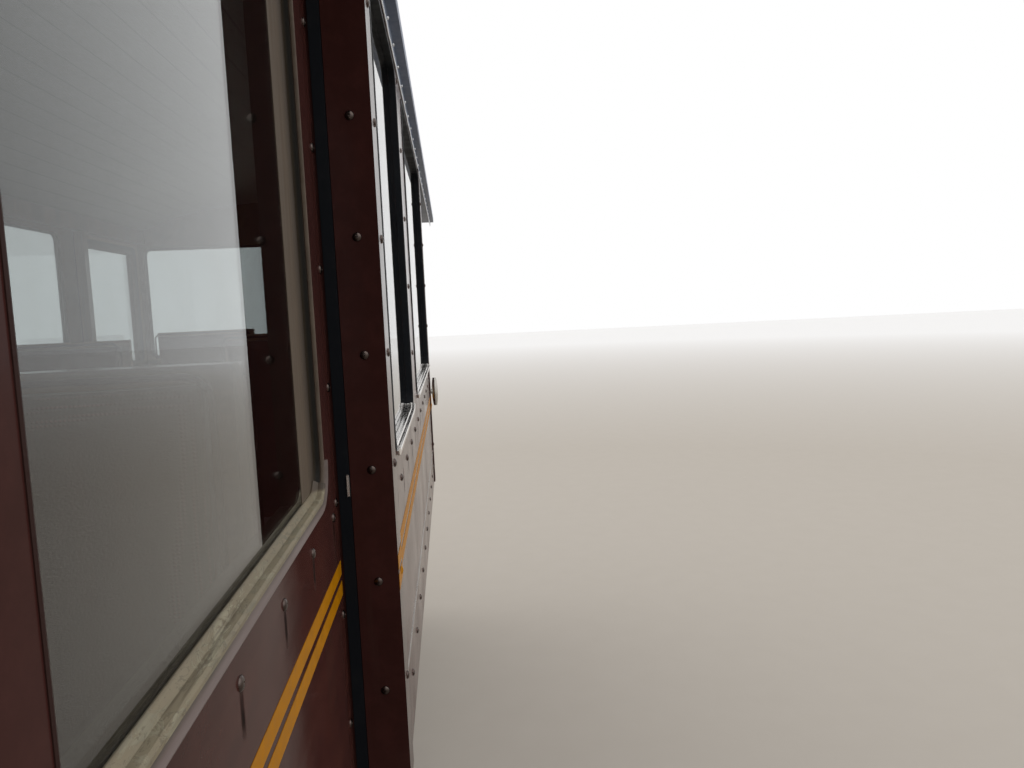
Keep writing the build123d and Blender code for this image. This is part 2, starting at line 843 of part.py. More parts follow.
def leaf_height(x, layer):
    """Height of the underside of a leaf layer, counted from the shortest, above the axlebox."""
    return spring_leaf * layer + spring_camber * (x / spring_half_lengths[0]) ** 2


def make_spring(x):
    """Laminated spring: leaves of falling length under the longest, held by a buckle."""
    count = len(spring_half_lengths)
    longest = spring_half_lengths[0]
    right = ThreePointArc(
        (-longest, leaf_height(longest, count)),
        (0, leaf_height(0, count)),
        (longest, leaf_height(longest, count)),
    )
    edges = right + Line((longest, leaf_height(longest, count)), (longest, leaf_height(longest, count - 1)))
    ends = [*spring_half_lengths[1:], 0]
    for layer, (far, near) in enumerate(zip(spring_half_lengths, ends)):
        level = count - 1 - layer
        middle = (far + near) / 2
        for side in (-1, 1):
            if near:
                points = [(side * at, leaf_height(at, level)) for at in (far, middle, near)]
                edges += ThreePointArc(*points)
                edges += Line(points[2], (side * near, leaf_height(near, level - 1)))
    shortest = spring_half_lengths[-1]
    edges += ThreePointArc(
        (-shortest, leaf_height(shortest, 0)), (0, 0), (shortest, leaf_height(shortest, 0))
    )
    edges += Line((-longest, leaf_height(longest, count)), (-longest, leaf_height(longest, count - 1)))
    leaves = Pos(x, 0, axlebox_top) * along_y(make_face(edges), spring_y)
    buckle_x = (x - spring_buckle / 2, x + spring_buckle / 2)
    buckle_z = (axlebox_top, axlebox_top + spring_leaf * (count + 1))
    return leaves + block(buckle_x, (spring_y[0] - spring_gap / 2, spring_y[1] + spring_gap / 2), buckle_z)


def make_springs(centre):
    return both_sides([make_spring(centre + axle) for axle in (-bogie_wheelbase / 2, bogie_wheelbase / 2)])


# Write every node
save("floor", make_floor())
save("solebars", both_sides([make_solebar()]))
save("cross_members", make_cross_members())
save("headstocks", [make_headstock(-1), make_headstock(1)])
save("centre_plates", make_centre_plates())
save("skirts", both_sides([make_skirt()]))
save("door_posts", both_sides(make_door_posts()))
save("cantrails", both_sides([make_cantrail()]))
save("roof", [make_roof()])
save("gutters", both_sides([make_gutter()]))
save("end_wall_rear", [make_end_wall(-1)])
save("end_wall_front", [make_end_wall(1)])
save("end_glass", make_end_glass())
save("corner_angles", both_sides(make_corner_angles()))
save("sill_rails", both_sides(make_sill_rails()))
save("window_liners", both_sides(make_window_liners()))
save("seat_bases", both_sides([make_seat_base(*row) for row in seat_rows()]))
save("seat_back_boards", both_sides([make_seat_back_board(*row[:2]) for row in seat_rows()]))
save("seat_cushions", both_sides([make_seat_cushion(*row) for row in seat_rows()]))
save("seat_backs", both_sides([make_back_cushion(*row[:2]) for row in seat_rows()]))
save("coupler_rear", [make_coupler(-1)])
save("coupler_front", [make_coupler(1)])
save("brake_reservoir", [make_reservoir()])
save("brake_cylinder", [make_brake_cylinder()])

bay_numbers = range(proud_count + 1)
save("lower_panels", both_sides(make_lower_panels()))
save("side_glass", both_sides(make_side_glass()))
save("door_hinges", both_sides([hinge for i in bay_numbers for hinge in make_fixed_hinges(i)]))
side_pieces = {
    "proud_sections": [make_proud_section(start) for start in proud_starts],
    "bay_panels": [make_bay_panel(i) for i in bay_numbers],
}
for name, pieces in side_pieces.items():
    save(f"{name}_left", pieces)
    save(f"{name}_right", [other_side(piece) for piece in pieces])

for i in bay_numbers:
    door_pieces = {"leaf": make_leaf(i), "glass": make_door_glass(i), "handle": make_handle(i)}
    for name, piece in door_pieces.items():
        save(f"door_left_{i + 1}_{name}", [piece])
        save(f"door_right_{i + 1}_{name}", [other_side(piece)])

for name, centre in (("rear", -bogie_centres / 2), ("front", bogie_centres / 2)):
    save(f"bogie_{name}_frame", [make_bogie_frame(centre)])
    save(f"bogie_{name}_axleboxes", make_axleboxes(centre))
    save(f"bogie_{name}_springs", make_springs(centre))
    save(f"wheelset_{name}_1", [make_wheelset(centre - bogie_wheelbase / 2)])
    save(f"wheelset_{name}_2", [make_wheelset(centre + bogie_wheelbase / 2)])
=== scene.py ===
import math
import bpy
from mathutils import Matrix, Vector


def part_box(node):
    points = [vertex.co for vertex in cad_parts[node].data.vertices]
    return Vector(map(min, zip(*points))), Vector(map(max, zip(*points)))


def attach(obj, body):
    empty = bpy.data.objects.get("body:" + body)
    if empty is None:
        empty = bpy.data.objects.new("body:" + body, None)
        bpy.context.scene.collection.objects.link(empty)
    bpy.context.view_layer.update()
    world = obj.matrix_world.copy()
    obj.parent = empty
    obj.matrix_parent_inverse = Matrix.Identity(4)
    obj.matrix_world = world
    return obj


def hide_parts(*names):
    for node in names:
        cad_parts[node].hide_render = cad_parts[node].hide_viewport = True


bl_info = {
    "name": "Bogie Passenger Coach",
    "version": (1, 0, 0),
    "blender": (4, 5, 0),
    "location": "3D View > Sidebar > Coach",
    "description": "Dresses the packed bogie coach with its trim, fasteners, seats, finishes and studio",
    "category": "Object",
}

import bmesh
import bpy
from mathutils import Matrix, Vector, noise

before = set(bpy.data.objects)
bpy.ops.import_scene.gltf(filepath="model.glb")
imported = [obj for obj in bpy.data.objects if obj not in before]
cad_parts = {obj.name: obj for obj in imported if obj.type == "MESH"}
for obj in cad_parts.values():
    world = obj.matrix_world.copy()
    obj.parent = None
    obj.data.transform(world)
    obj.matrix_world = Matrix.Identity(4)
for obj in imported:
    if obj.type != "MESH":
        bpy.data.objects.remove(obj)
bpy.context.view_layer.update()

# The coach in metres, read from the fixed frame or given as in the part's source: its lengths, faces and heights,
# the thickness of walls and leaves, the cover angles, the depths and width of the corner bands, and the curve of the
# ceiling as the height of its centre and its radius
BAY = 1.265
PROUD = 1.320
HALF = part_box("skirts")[1].x
PITCH = BAY + PROUD
BAYS = [-HALF + i * PITCH for i in range(3)]
PROUDS = [x + BAY for x in BAYS[:2]]
SIDES = (1, -1)
ENDS = (-1, 1)
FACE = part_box("proud_sections_left")[1].y
BAY_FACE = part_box("bay_panels_left")[1].y
LOW_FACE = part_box("skirts")[1].y
PANEL_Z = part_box("proud_sections_left")[0].z
TURN_Z = PANEL_Z - 0.044
SOFFIT_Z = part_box("proud_sections_left")[1].z
GUTTER_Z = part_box("gutters")[0].z
WALL = 0.028
LEAF = 0.0222
ANGLE = 0.0025
ANGLE_LEG = 0.040
SEAL = (0.0025, 0.0125)
BAND = 0.003
CEILING = (0.2581, 1.4504)

# Openings, from the start of their bay or section or from the middle of an end, with their heights and corners,
# the sash's depth and its width at the rear, front, bottom and top, and the panes' thickness, margin and depths
DOOR = (0.056, 0.704)
DOOR_GAP = 0.006
DOOR_WINDOW = (0.140, 0.620)
BAY_WINDOW = (0.7835, 1.208)
SMALL_WINDOW = (0.071, 0.442)
LARGE_WINDOW = (0.585, 1.272)
END_WINDOW = (0.035, BAY_FACE - 0.045)
SILL_Z = 1.113
BAY_SILL_Z = 1.108
WINDOW_TOP_Z = 1.545
PROUD_TOP_Z = 1.580
CORNER = 0.028
SASH_DEPTH = 0.0075
SASH_LIGHT = (0.006, 0.055, 0.006, 0.030)
PANE = 0.006
PANE_EDGE = 0.003
PROUD_PANE_DEPTH = 0.0075
BAY_PANE_DEPTH = 0.0078

# Running gear: places of bogies and axles, the wheels' treads, and the faces that bolts stand on
BOGIE_X = 2.2
AXLE_X = 0.4
AXLE_Z = 0.153
TREAD_RADIUS = 0.1375
SIDE_PLATE = 0.2665
AXLEBOX_FACE = 0.3205
BUCKLE_FACE = 0.3125

# Bolts of a bogie's plates and of its axles, and those on the coupler flanges and the headstocks, each as the face,
# the columns and the rows
PLATE_BOLTS = (SIDE_PLATE, (-0.17, -0.06, 0.06, 0.17), (0.225, 0.275))
AXLE_BOLTS = (
    (SIDE_PLATE, (-0.056, 0.056), (0.120, 0.170)),
    (AXLEBOX_FACE, (-0.026, 0.026), (0.127, 0.179)),
    (BUCKLE_FACE, (0.0,), (0.2155,)),
)
END_BOLTS = (
    (HALF + 0.012, (-0.052, 0.052), (0.302, 0.414)),
    (HALF, (-0.42, -0.34, 0.34, 0.42), (0.345, 0.400)),
)

# Rows of screws: the sill rows as first place, pitch and height, the others as heights
BAY_ROW = (1.2386, 0.0982, 1.0815)
PROUD_ROW = (0.136, 0.1117, 1.0782)
PILLAR_ROW = 1.2872
ANGLE_ROW = 1.115
LOWER_ROW = 0.867
GUTTER_ROW = 1.587
PANEL_ROWS = (0.765, 0.452)
LEAF_ROWS = (0.755, 0.462)
END_ROWS = (BAY_ROW[2], 0.86, 0.47, 1.578)
EDGE_ROW = 0.338

# Columns of screws as places from the start of a bay, their tops, setbacks from a corner or a face, and the reaches
# and pitches of rows
PILLAR_COLUMNS = (0.025, BAY - 0.0075)
LEAF_COLUMNS = (DOOR[0] + 0.020, DOOR[1] - 0.055)
PILLAR_TOP = 1.59
ANGLE_TOP = 1.58
LEAF_TOP = 1.55
ANGLE_FRONT = 0.025
ANGLE_SIDE = 0.0155
CORNER_SIDE = 0.022
GUTTER_REACH = (0.12, 1.20)
PANEL_REACH = (0.775, 1.20)
PROUD_REACH = (0.04, PROUD - 0.04)
LEAF_REACH = (DOOR[0] + 0.020, DOOR[1] - 0.015)
EDGE_REACH = (-HALF + 0.06, HALF - 0.06)
END_REACH = (-0.48, 0.48)
LEAF_PITCH = 0.152
EDGE_PITCH = 0.21
END_PITCH = 0.12

# Thin panel strips, clips, thickness of the painted lines, the seats' piping, and the seats' pads from the board
# behind them, with the width of a seat and the inset, voxel and crown of the blown-up pads
STRIP_ROWS = (0.9033, 0.9047)
STRIP_MARGIN = ANGLE_LEG + 0.001
CLIP_ROWS = (1.0935, 1.1120)
CLIP_SPAN = (ANGLE, ANGLE + 0.0019)
CLIP_DEPTHS = (FACE - 0.0371, FACE - 0.0349)
LINE_FILM = 0.0003
PIPING = 0.003
PIPING_CORNER = 0.02
SEAT_PAD = (0.0618, 0.416)
BACK_PAD = (0.0164, 0.0614)
SEAT_WIDTH = 0.370
PAD_INSET = 0.006
PAD_VOXEL = 0.0085
SEAT_CROWN = 0.012
BACK_CROWN = 0.010


def doors():
    """Body, side and start of the bay of every door."""
    names = zip(("left", "right"), SIDES)
    return [(f"door_{name}_{i}", side, start) for name, side in names for i, start in enumerate(BAYS, 1)]


def proud_windows():
    """Side and span of every window of the proud sections."""
    windows = (SMALL_WINDOW, LARGE_WINDOW)
    return [(side, (x + rear, x + front)) for side in SIDES for x in PROUDS for rear, front in windows]


def bay_windows():
    """Side and span of every window beside a door."""
    return [(side, (x + BAY_WINDOW[0], x + BAY_WINDOW[1])) for side in SIDES for x in BAYS]


def proud_corners():
    """Side, place and way out of every corner of the proud sections."""
    return [(side, x, way) for side in SIDES for start in PROUDS for x, way in ((start, -1), (start + PROUD, 1))]


def end_windows():
    """Way out and span of every window of the ends."""
    return [(way, sorted((side * END_WINDOW[0], side * END_WINDOW[1]))) for way in ENDS for side in (-1, 1)]


def length(name, description, default):
    return bpy.props.FloatProperty(name=name, description=description, default=default, unit="LENGTH")


def paint_colour(name, description, default):
    return bpy.props.FloatVectorProperty(name=name, description=description, default=default, subtype="COLOR")


# Sections of the mouldings, in millimetres of growth from an opening's edge and of stand from a face
PROUD_RUBBER = ((0, -7.4), (0, 0), (3.5, 0), (3.3, 1), (0, 1.6), (-1.8, 0.8), (-2.4, -7.4))
DOOR_RUBBER = ((-6, -8), (-3, 1), (0, 1), (9, 1), (9, 0), (0, 0))
END_RUBBER = ((0, -17.5), (0, 1), (-4, 1), (-11, -17.5))
END_FLANGE = ((0, 0), (0, 1.2), (10, 1.2), (10, 0))
BAY_BEAD = ((0, -2.2), (-0.8, -2), (-1.1, -0.6), (-0.6, 0.6), (0.4, 0.9), (1.2, 0.4), (1.2, -0.2), (0, -0.2))
# Lining of the groove wall between sash and bead, which carries the bead finish's painted shade
GROOVE_SHADE_LINING = ((0, -7.5), (0, -2.5), (-0.9, -2.5), (-1.4, -7.5))
SILL_RAIL = (
    (4.6, 1.4), (4.4, 3.2), (0.4, 4.2), (-1.4, 4), (-2, 3.4), (-2, 1.4), (-1, 1.2), (-1, 0.2), (-3.4, 0),
    (-4, -0.8), (-4, -3.2), (-2.8, -4), (-2.6, -7.2), (0.2, -7.2),
)
SILL_BOARD = (
    (0.2, -7.4), (-6.8, -7.4), (-7, -6.6), (-4.4, -4.2), (-3.4, -3.4), (-3.1, -3.1), (-3.2, -2.8), (-2.4, 0.6),
    (-0.8, 1.8), (1.4, 1.6), (1.6, -0.2), (0.2, -0.2),
)
SILL_LIP = ((1.2, -0.2), (1.6, 0.8), (5, 1.4), (7, 2.6), (8, 2.2), (8.2, -0.2))
STRAP = ((-16, -1), (16, -1), (16, 1.2), (12, 2.4), (-12, 2.4), (-16, 1.2))

# Camera: frame, focal length and the point where the coach's long lines meet, in pixels, then its upright and place
WIDTH, HEIGHT = 1024.0, 768.0
FOCAL = 790.0
MEETING = (448.5, 311.0)
UPRIGHT = (-0.0523, 0.9986, 0.0)
EYE = (-0.0475, -0.6675, 1.248)

# Profiles of the heads, one unit wide
DOME = ((0.5, -0.06), (0.5, 0.04), (0.44, 0.13), (0.28, 0.21), (0.13, 0.23), (0.10, 0.13), (0, 0.13))
BUTTON = ((0.5, -0.05), (0.46, 0.2), (0.3, 0.38), (0.12, 0.44), (0, 0.44))
NUT = ((0.5, -0.05), (0.5, 0.30), (0.42, 0.36), (0.2, 0.37), (0.19, 0.52), (0.12, 0.55), (0, 0.55))


class CoachSizes(bpy.types.PropertyGroup):
    """Sizes of the trim that is added to the coach"""

    screw_head: length("Screw head", "Diameter of the domed panel screws", 0.0078)
    bolt_head: length("Bolt head", "Width of the hexagon heads on the running gear", 0.022)
    rivet_head: length("Rivet head", "Diameter of the small rivets of the drip strips", 0.0055)
    column_pitch: length("Column pitch", "Spacing of the screws up the pillars", 0.0988)
    angle_pitch: length("Angle pitch", "Spacing of the screws up the cover angles", 0.099)
    rivet_pitch: length("Rivet pitch", "Spacing of the rivets of the drip strips", 0.096)
    line_width: length("Line width", "Width of each of the two yellow lines", 0.0124)
    line_gap: length("Line gap", "Gap between the two yellow lines", 0.0056)
    line_height: length("Line height", "Height of the middle of the yellow lines", 1.0223)
    bead: length("Bead", "Width of the beads round the end windows", 0.0035)


class CoachColours(bpy.types.PropertyGroup):
    """Colours of the coach's finishes"""

    maroon: paint_colour("Maroon", "Gloss enamel of the body", (0.050, 0.0170, 0.0145))
    lining: paint_colour("Lining", "Yellow of the double lines", (0.42, 0.168, 0.002))
    roof: paint_colour("Roof", "Blue-grey paint of the roof", (0.078, 0.108, 0.175))
    cream: paint_colour("Cream", "Weathered paint of the sashes", (0.24, 0.200, 0.130))
    chassis: paint_colour("Chassis", "Black of the underframe", (0.018, 0.018, 0.02))
    cloth: paint_colour("Cloth", "Moquette of the seats", (0.16, 0.022, 0.026))


# Building finishes
class Finish:
    """One material, built from the coordinates towards its shader"""

    def __init__(self, name):
        self.material = bpy.data.materials.new(name)
        self.material.use_nodes = True
        self.tree = self.material.node_tree
        self.place = self.node("TexCoord", {}).outputs["Object"]
        self.x, self.y, self.z = self.node("SeparateXYZ", {0: self.place}).outputs

    def put(self, socket, value):
        """Link a socket, or set it."""
        if isinstance(value, bpy.types.NodeSocket):
            self.tree.links.new(value, socket)
        else:
            socket.default_value = (*value, 1.0) if socket.type == "RGBA" else value

    def node(self, kind, values, **settings):
        """New node with its settings and its inputs."""
        node = self.tree.nodes.new("ShaderNode" + kind)
        for name, value in settings.items():
            setattr(node, name, value)
        for key, value in values.items():
            self.put(node.inputs[key], value)
        return node

    def math(self, operation, a, b=0.0):
        return self.node("Math", {0: a, 1: b}, operation=operation).outputs[0]

    def times(self, a, b):
        return self.math("MULTIPLY", a, b)

    def plus(self, a, b):
        return self.math("ADD", a, b)

    def minus(self, a, b):
        return self.math("SUBTRACT", a, b)

    def absolute(self, a):
        return self.math("ABSOLUTE", a)

    def noise(self, scale, detail=3.0, rough=0.55, factors=None, distortion=0.0):
        """Noise of the place, which the factors may stretch."""
        place = self.place
        if factors:
            place = self.node("VectorMath", {0: place, 1: factors}, operation="MULTIPLY").outputs[0]
        values = {"Vector": place, "Scale": scale, "Detail": detail, "Roughness": rough, "Distortion": distortion}
        return self.node("TexNoise", values).outputs["Fac"]

    def ramp(self, value, low, high, out_low=0.0, out_high=1.0):
        values = {"Value": value, "From Min": low, "From Max": high, "To Min": out_low, "To Max": out_high}
        return self.node("MapRange", values).outputs["Result"]

    def fall(self, value, low, high):
        """One below a band of values, zero above it."""
        return self.ramp(value, low, high, 1.0, 0.0)

    def between(self, noise, low, high):
        """A measure that follows a noise between two limits."""
        return self.ramp(noise, 0.3, 0.7, low, high)

    def mix(self, factor, a, b):
        return self.node("Mix", {0: factor, 6: a, 7: b}, data_type="RGBA").outputs[2]

    def blend(self, value, a, b, low=0.3, high=0.7):
        """One colour where a value is low, and another where it is high."""
        return self.mix(self.ramp(value, low, high), a, b)

    def layer(self, under, mask, share, colour):
        """A colour laid over another one by a share of a mask."""
        return self.mix(self.times(mask, share), under, colour)

    def bump(self, height, strength, distance, under=None):
        values = {"Strength": strength, "Distance": distance, "Height": height}
        if under is not None:
            values["Normal"] = under
        return self.node("Bump", values).outputs["Normal"]

    def shade(self, colour, rough, normal=None, **others):
        """Set the shader, and give back the finished material."""
        shader = self.tree.nodes["Principled BSDF"]
        for name, value in {"Base_Color": colour, "Roughness": rough, "Normal": normal, **others}.items():
            if value is not None:
                self.put(shader.inputs[name.replace("_", " ")], value)
        return self.material


def tint(colour, factor):
    """The colour made lighter or darker."""
    return tuple(min(channel * factor, 1) for channel in colour)


def repeat(f, value, start, pitch):
    """Distance of a coordinate from the nearest of evenly pitched places."""
    turned = f.math("FLOORED_MODULO", f.minus(value, start - pitch / 2), pitch)
    return f.absolute(f.minus(turned, pitch / 2))


def past_bay(f, shift=0):
    """Distance along the coach past the start of a door bay, or past a place shifted from it."""
    return f.math("FLOORED_MODULO", f.plus(f.x, HALF - shift + 4 * PITCH), PITCH)


def distance(f, a, b):
    return f.math("SQRT", f.plus(f.times(a, a), f.times(b, b)))


def band(f, value, low, high, soft):
    """One inside a band of a coordinate, zero outside, with soft edges."""
    rise = f.ramp(value, low - soft, low + soft)
    fall = f.fall(value, high - soft, high + soft)
    return f.times(rise, fall)


def plank_wood(f, base, along, grain=1):
    """Colour and height of plain timber with its grain along one axis."""
    factors = [22, 22, 22]
    factors[along] = 1.6
    rings = f.noise(1, 5, 0.62, factors, 0.6)
    fine = f.noise(9, 3, 0.6, factors)
    figure = f.plus(f.times(rings, 0.7), f.times(fine, 0.3))
    colour = f.blend(figure, tint(base, 1 - 0.42 * grain), tint(base, 1 + 0.25 * grain), 0.36, 0.66)
    return colour, figure


def side_depth(f):
    """Depth of a point behind the bent side of the door bays."""
    outer = f.ramp(f.z, TURN_Z, PANEL_Z, LOW_FACE, BAY_FACE)
    return f.minus(outer, f.absolute(f.y))


def matchboard(f):
    """Inner lining: brown upright boards up to the sills, lighter level boards above them."""
    upright, _ = plank_wood(f, (0.125, 0.062, 0.030), 2, 0.8)
    joint = f.fall(repeat(f, f.x, 0, 0.075), 0.0010, 0.0026)
    upright = f.layer(upright, joint, 0.85, (0.020, 0.010, 0.006))
    level, _ = plank_wood(f, (0.20, 0.125, 0.070), 0, 0.6)
    rail = band(f, f.z, 1.094, 1.106, 0.0008)
    lining = f.blend(f.z, upright, level, 1.0995, 1.1005)
    return f.layer(lining, rail, 0.6, (0.055, 0.028, 0.015))


def enamel(name, colour, inside=None, film=0):
    """Gloss coach enamel with ripples, drips, dust and a film, and boarding on its inner face"""
    f = Finish(name)
    cloud = f.noise(3, 4, 0.6)
    fine = f.noise(46, 4, 0.65)
    paint = f.blend(cloud, tint(colour, 0.78), tint(colour, 1.2))
    paint = f.mix(f.ramp(fine, 0.45, 0.75, 0, 0.35), paint, tint(colour, 1.7))
    if film:
        haze = f.ramp(f.noise(1, 5, 0.62, (9, 9, 34), 0.4), 0.40, 0.68)
        haze = f.times(haze, band(f, f.z, 0.84, 1.10, 0.04))
        paint = f.mix(f.times(haze, film), paint, (0.105, 0.036, 0.026))
    lengthwise = past_bay(f)
    near_screw = f.fall(repeat(f, lengthwise, BAY_ROW[0], BAY_ROW[1]), 0.0016, 0.0042)
    below = band(f, f.z, BAY_ROW[2] - 0.024, BAY_ROW[2] - 0.003, 0.005)
    streak = f.times(near_screw, below)
    streak = f.times(streak, f.ramp(f.noise(30, 2), 0.25, 0.5))
    paint = f.layer(paint, streak, 0.95, (0.008, 0.004, 0.003))
    drips = f.noise(1, 4, 0.6, (38, 38, 2.2))
    drips = f.times(f.ramp(drips, 0.56, 0.74), band(f, f.z, 0.90, 1.09, 0.05))
    paint = f.layer(paint, drips, 0.35, (0.060, 0.038, 0.028))
    low = f.ramp(f.z, 0.95, 0.34)
    dust = f.times(low, f.ramp(f.noise(16, 5, 0.7), 0.35, 0.75))
    paint = f.layer(paint, dust, 0.30, (0.13, 0.090, 0.062))
    gloss = f.plus(f.ramp(f.noise(11, 4), 0.3, 0.8, 0.10, 0.22), f.times(dust, 0.35))
    gloss = f.plus(gloss, f.times(streak, 0.5))
    ripple = f.noise(1, 2, 0.5, (2.2, 2.2, 24), 0.3)
    peel = f.noise(420, 1, 0.5)
    normal = f.bump(ripple, 0.6, 0.0014)
    normal = f.bump(peel, 0.05, 0.0002, normal)
    if inside is not None:
        inner = inside(f)
        paint = f.mix(inner, paint, matchboard(f))
        gloss = f.plus(gloss, f.times(inner, 0.3))
    return f.shade(paint, gloss, normal, Coat_Weight=0.010, Coat_Roughness=0.04, Specular_IOR_Level=0.036)


def inner_face_of_bays(f):
    return f.ramp(side_depth(f), WALL - 0.0009, WALL - 0.0005)


def inner_face_of_leaves(f):
    return f.ramp(side_depth(f), LEAF, LEAF + 0.0004)


def inner_face_of_proud(f):
    behind = f.fall(f.absolute(f.y), FACE - WALL + 0.0004, FACE - WALL + 0.0008)
    lengthwise = past_bay(f, BAY)
    within = band(f, lengthwise, 0.0006, PROUD - 0.0006, 0.0002)
    return f.times(f.times(behind, within), f.ramp(f.z, PANEL_Z + 0.0004, PANEL_Z + 0.0008))


def inner_face_of_ends(f):
    return f.fall(f.absolute(f.x), HALF - WALL + 0.0004, HALF - WALL + 0.0008)


def chassis_paint(name, colour):
    """Satin black chassis paint with brown dust, rust at random and worn spots"""
    f = Finish(name)
    coarse = f.noise(6, 5, 0.7)
    fine = f.noise(70, 4, 0.7)
    paint = f.blend(coarse, colour, tint(colour, 2.4), 0.35, 0.75)
    dust = f.ramp(f.plus(coarse, f.times(fine, 0.35)), 0.62, 0.86)
    paint = f.layer(paint, dust, 0.55, (0.115, 0.078, 0.050))
    rust = f.ramp(f.noise(19, 5, 0.75), 0.60, 0.70)
    paint = f.layer(paint, rust, 0.6, (0.13, 0.042, 0.016))
    rough = f.between(fine, 0.38, 0.72)
    normal = f.bump(fine, 0.25, 0.0006)
    return f.shade(paint, rough, normal)


def wheel_steel():
    """Turned steel: bright coned treads and flanges, rusty webs"""
    f = Finish("wheel_steel")
    from_bogie = f.absolute(f.minus(f.absolute(f.x), BOGIE_X))
    radius = distance(f, f.minus(from_bogie, AXLE_X), f.minus(f.z, AXLE_Z))
    tread = f.ramp(radius, TREAD_RADIUS, TREAD_RADIUS + 0.001)
    turned = f.noise(1, 2, 0.5, (3, 900, 3))
    web = f.blend(f.noise(24, 5, 0.7), (0.055, 0.034, 0.024), (0.16, 0.075, 0.035), 0.35, 0.7)
    steel = f.blend(turned, (0.34, 0.33, 0.32), (0.52, 0.51, 0.49))
    colour = f.mix(tread, web, steel)
    rough = f.plus(f.times(tread, -0.45), 0.72)
    normal = f.bump(f.noise(60, 4, 0.7), 0.2, 0.0006)
    return f.shade(colour, rough, normal, Metallic=tread)


def spring_steel():
    """Oily black spring leaves and castings"""
    f = Finish("spring_steel")
    coarse = f.noise(14, 5, 0.7)
    colour = f.blend(coarse, (0.014, 0.012, 0.011), (0.07, 0.045, 0.028), 0.35, 0.7)
    cast = f.noise(160, 3, 0.7)
    rough = f.between(coarse, 0.28, 0.62)
    return f.shade(colour, rough, f.bump(cast, 0.35, 0.0006), Metallic=0.35)


def metal(name, colour, low, high, scale=60):
    """Bare metal with fine scratches and dulled patches"""
    f = Finish(name)
    patch = f.noise(scale / 4, 4, 0.65)
    scratch = f.noise(1, 3, 0.6, (scale * 0.2, scale * 4, scale * 4))
    shade = f.blend(patch, tint(colour, 0.72), tint(colour, 1.1))
    rough = f.between(f.plus(f.times(patch, 0.6), f.times(scratch, 0.4)), low, high)
    return f.shade(shade, rough, f.bump(scratch, 0.03, 0.0002), Metallic=1)


def rubber():
    """Black window and corner rubber, slightly shiny and dusty"""
    f = Finish("black_rubber")
    dust = f.ramp(f.noise(28, 5, 0.7), 0.5, 0.8)
    colour = f.layer((0.004, 0.005, 0.007), dust, 0.15, (0.045, 0.040, 0.036))
    rough = f.between(f.noise(50, 3), 0.45, 0.65)
    normal = f.bump(f.noise(220, 2), 0.12, 0.0003)
    return f.shade(colour, rough, normal, Specular_IOR_Level=0.10)


def glass():
    """Clear window glass with a faint green tint and wiped smears"""
    f = Finish("window_glass")
    smear = f.noise(1, 4, 0.6, (9, 9, 3), 0.8)
    rough = f.ramp(smear, 0.45, 0.8, 0, 0.015)
    tone = f.blend(smear, (0.56, 0.60, 0.60), (0.52, 0.55, 0.54), 0.5, 0.8)
    return f.shade(tone, rough, Transmission_Weight=1, IOR=1.5)


def yellow_lining(colour):
    """Thick golden-yellow paint, a little uneven and rubbed"""
    f = Finish("yellow_lining")
    fine = f.noise(120, 4, 0.65)
    tone = f.blend(fine, tint(colour, 0.86), tint(colour, 1.12), 0.3, 0.75)
    rubbed = f.ramp(f.noise(34, 5, 0.75), 0.70, 0.80)
    tone = f.layer(tone, rubbed, 0.5, (0.18, 0.07, 0.02))
    return f.shade(tone, f.between(fine, 0.34, 0.48), Specular_IOR_Level=0.05)


def weathered_sash(colour):
    """Cream painted wood with a flaked sill; painted shade makes the stiles darker and greyer, deepens towards their
    front edge, and lays dark brown behind the outer face and on the rear stile
    """
    f = Finish("weathered_sash")
    upright = f.noise(1, 5, 0.65, (70, 70, 5), 0.4)
    level = f.noise(1, 5, 0.65, (5, 70, 70), 0.4)
    rail = f.fall(f.z, BAY_SILL_Z + 0.006, BAY_SILL_Z + 0.008)
    cracks = f.mix(rail, upright, level)
    # Painted shade: above the bottom rail the sash takes this darker, greyed copy of the cream, for upright stiles
    # in shade, and the bottom rail keeps the lit cream
    stile_in_painted_shade = f.blend(f.noise(9, 4), (0.064, 0.043, 0.025), (0.084, 0.058, 0.035))
    stile_in_painted_shade = f.mix(f.ramp(cracks, 0.62, 0.74, 0, 0.4), stile_in_painted_shade, (0.075, 0.055, 0.035))
    base = f.blend(f.noise(14, 4), tint(colour, 0.72), tint(colour, 1.02))
    flake = f.ramp(f.noise(1, 5, 0.7, (60, 160, 160), 0.8), 0.50, 0.58)
    bare = f.blend(level, (0.13, 0.115, 0.075), (0.38, 0.35, 0.25), 0.4, 0.66)
    base = f.layer(base, flake, 0.8, bare)
    crack = f.ramp(level, 0.58, 0.66, 0, 0.85)
    base = f.mix(crack, base, (0.070, 0.052, 0.034))
    chips = f.ramp(f.noise(1, 5, 0.75, (110, 260, 260), 1.2), 0.56, 0.60)
    base = f.layer(base, chips, 0.65, (0.12, 0.10, 0.065))
    base = f.mix(rail, stile_in_painted_shade, base)
    lengthwise = past_bay(f)
    # Painted shade: the stiles darken towards the front edge of the window, where the groove falls into shadow
    front_edge_painted_shade = f.times(f.ramp(lengthwise, BAY_WINDOW[1] - 0.026, BAY_WINDOW[1] - 0.002), f.minus(1, rail))
    base = f.layer(base, front_edge_painted_shade, 0.8, (0.022, 0.015, 0.010))
    # Painted shade: faces behind the outer face, and the rear stile, take a dark brown as if in the shadowed inside
    # of the coach
    behind = f.fall(f.absolute(f.y), BAY_FACE - SASH_DEPTH - 0.0008, BAY_FACE - SASH_DEPTH - 0.0004)
    rear = f.fall(lengthwise, BAY_WINDOW[0] + 0.0068, BAY_WINDOW[0] + 0.0072)
    painted_shade_behind = f.math("MAXIMUM", behind, rear)
    base = f.mix(painted_shade_behind, base, f.mix(upright, (0.020, 0.012, 0.008), (0.050, 0.030, 0.018)))
    height = f.plus(cracks, f.times(f.times(flake, rail), 0.8))
    return f.shade(base, f.between(cracks, 0.5, 0.8), f.bump(height, 0.4, 0.0008))


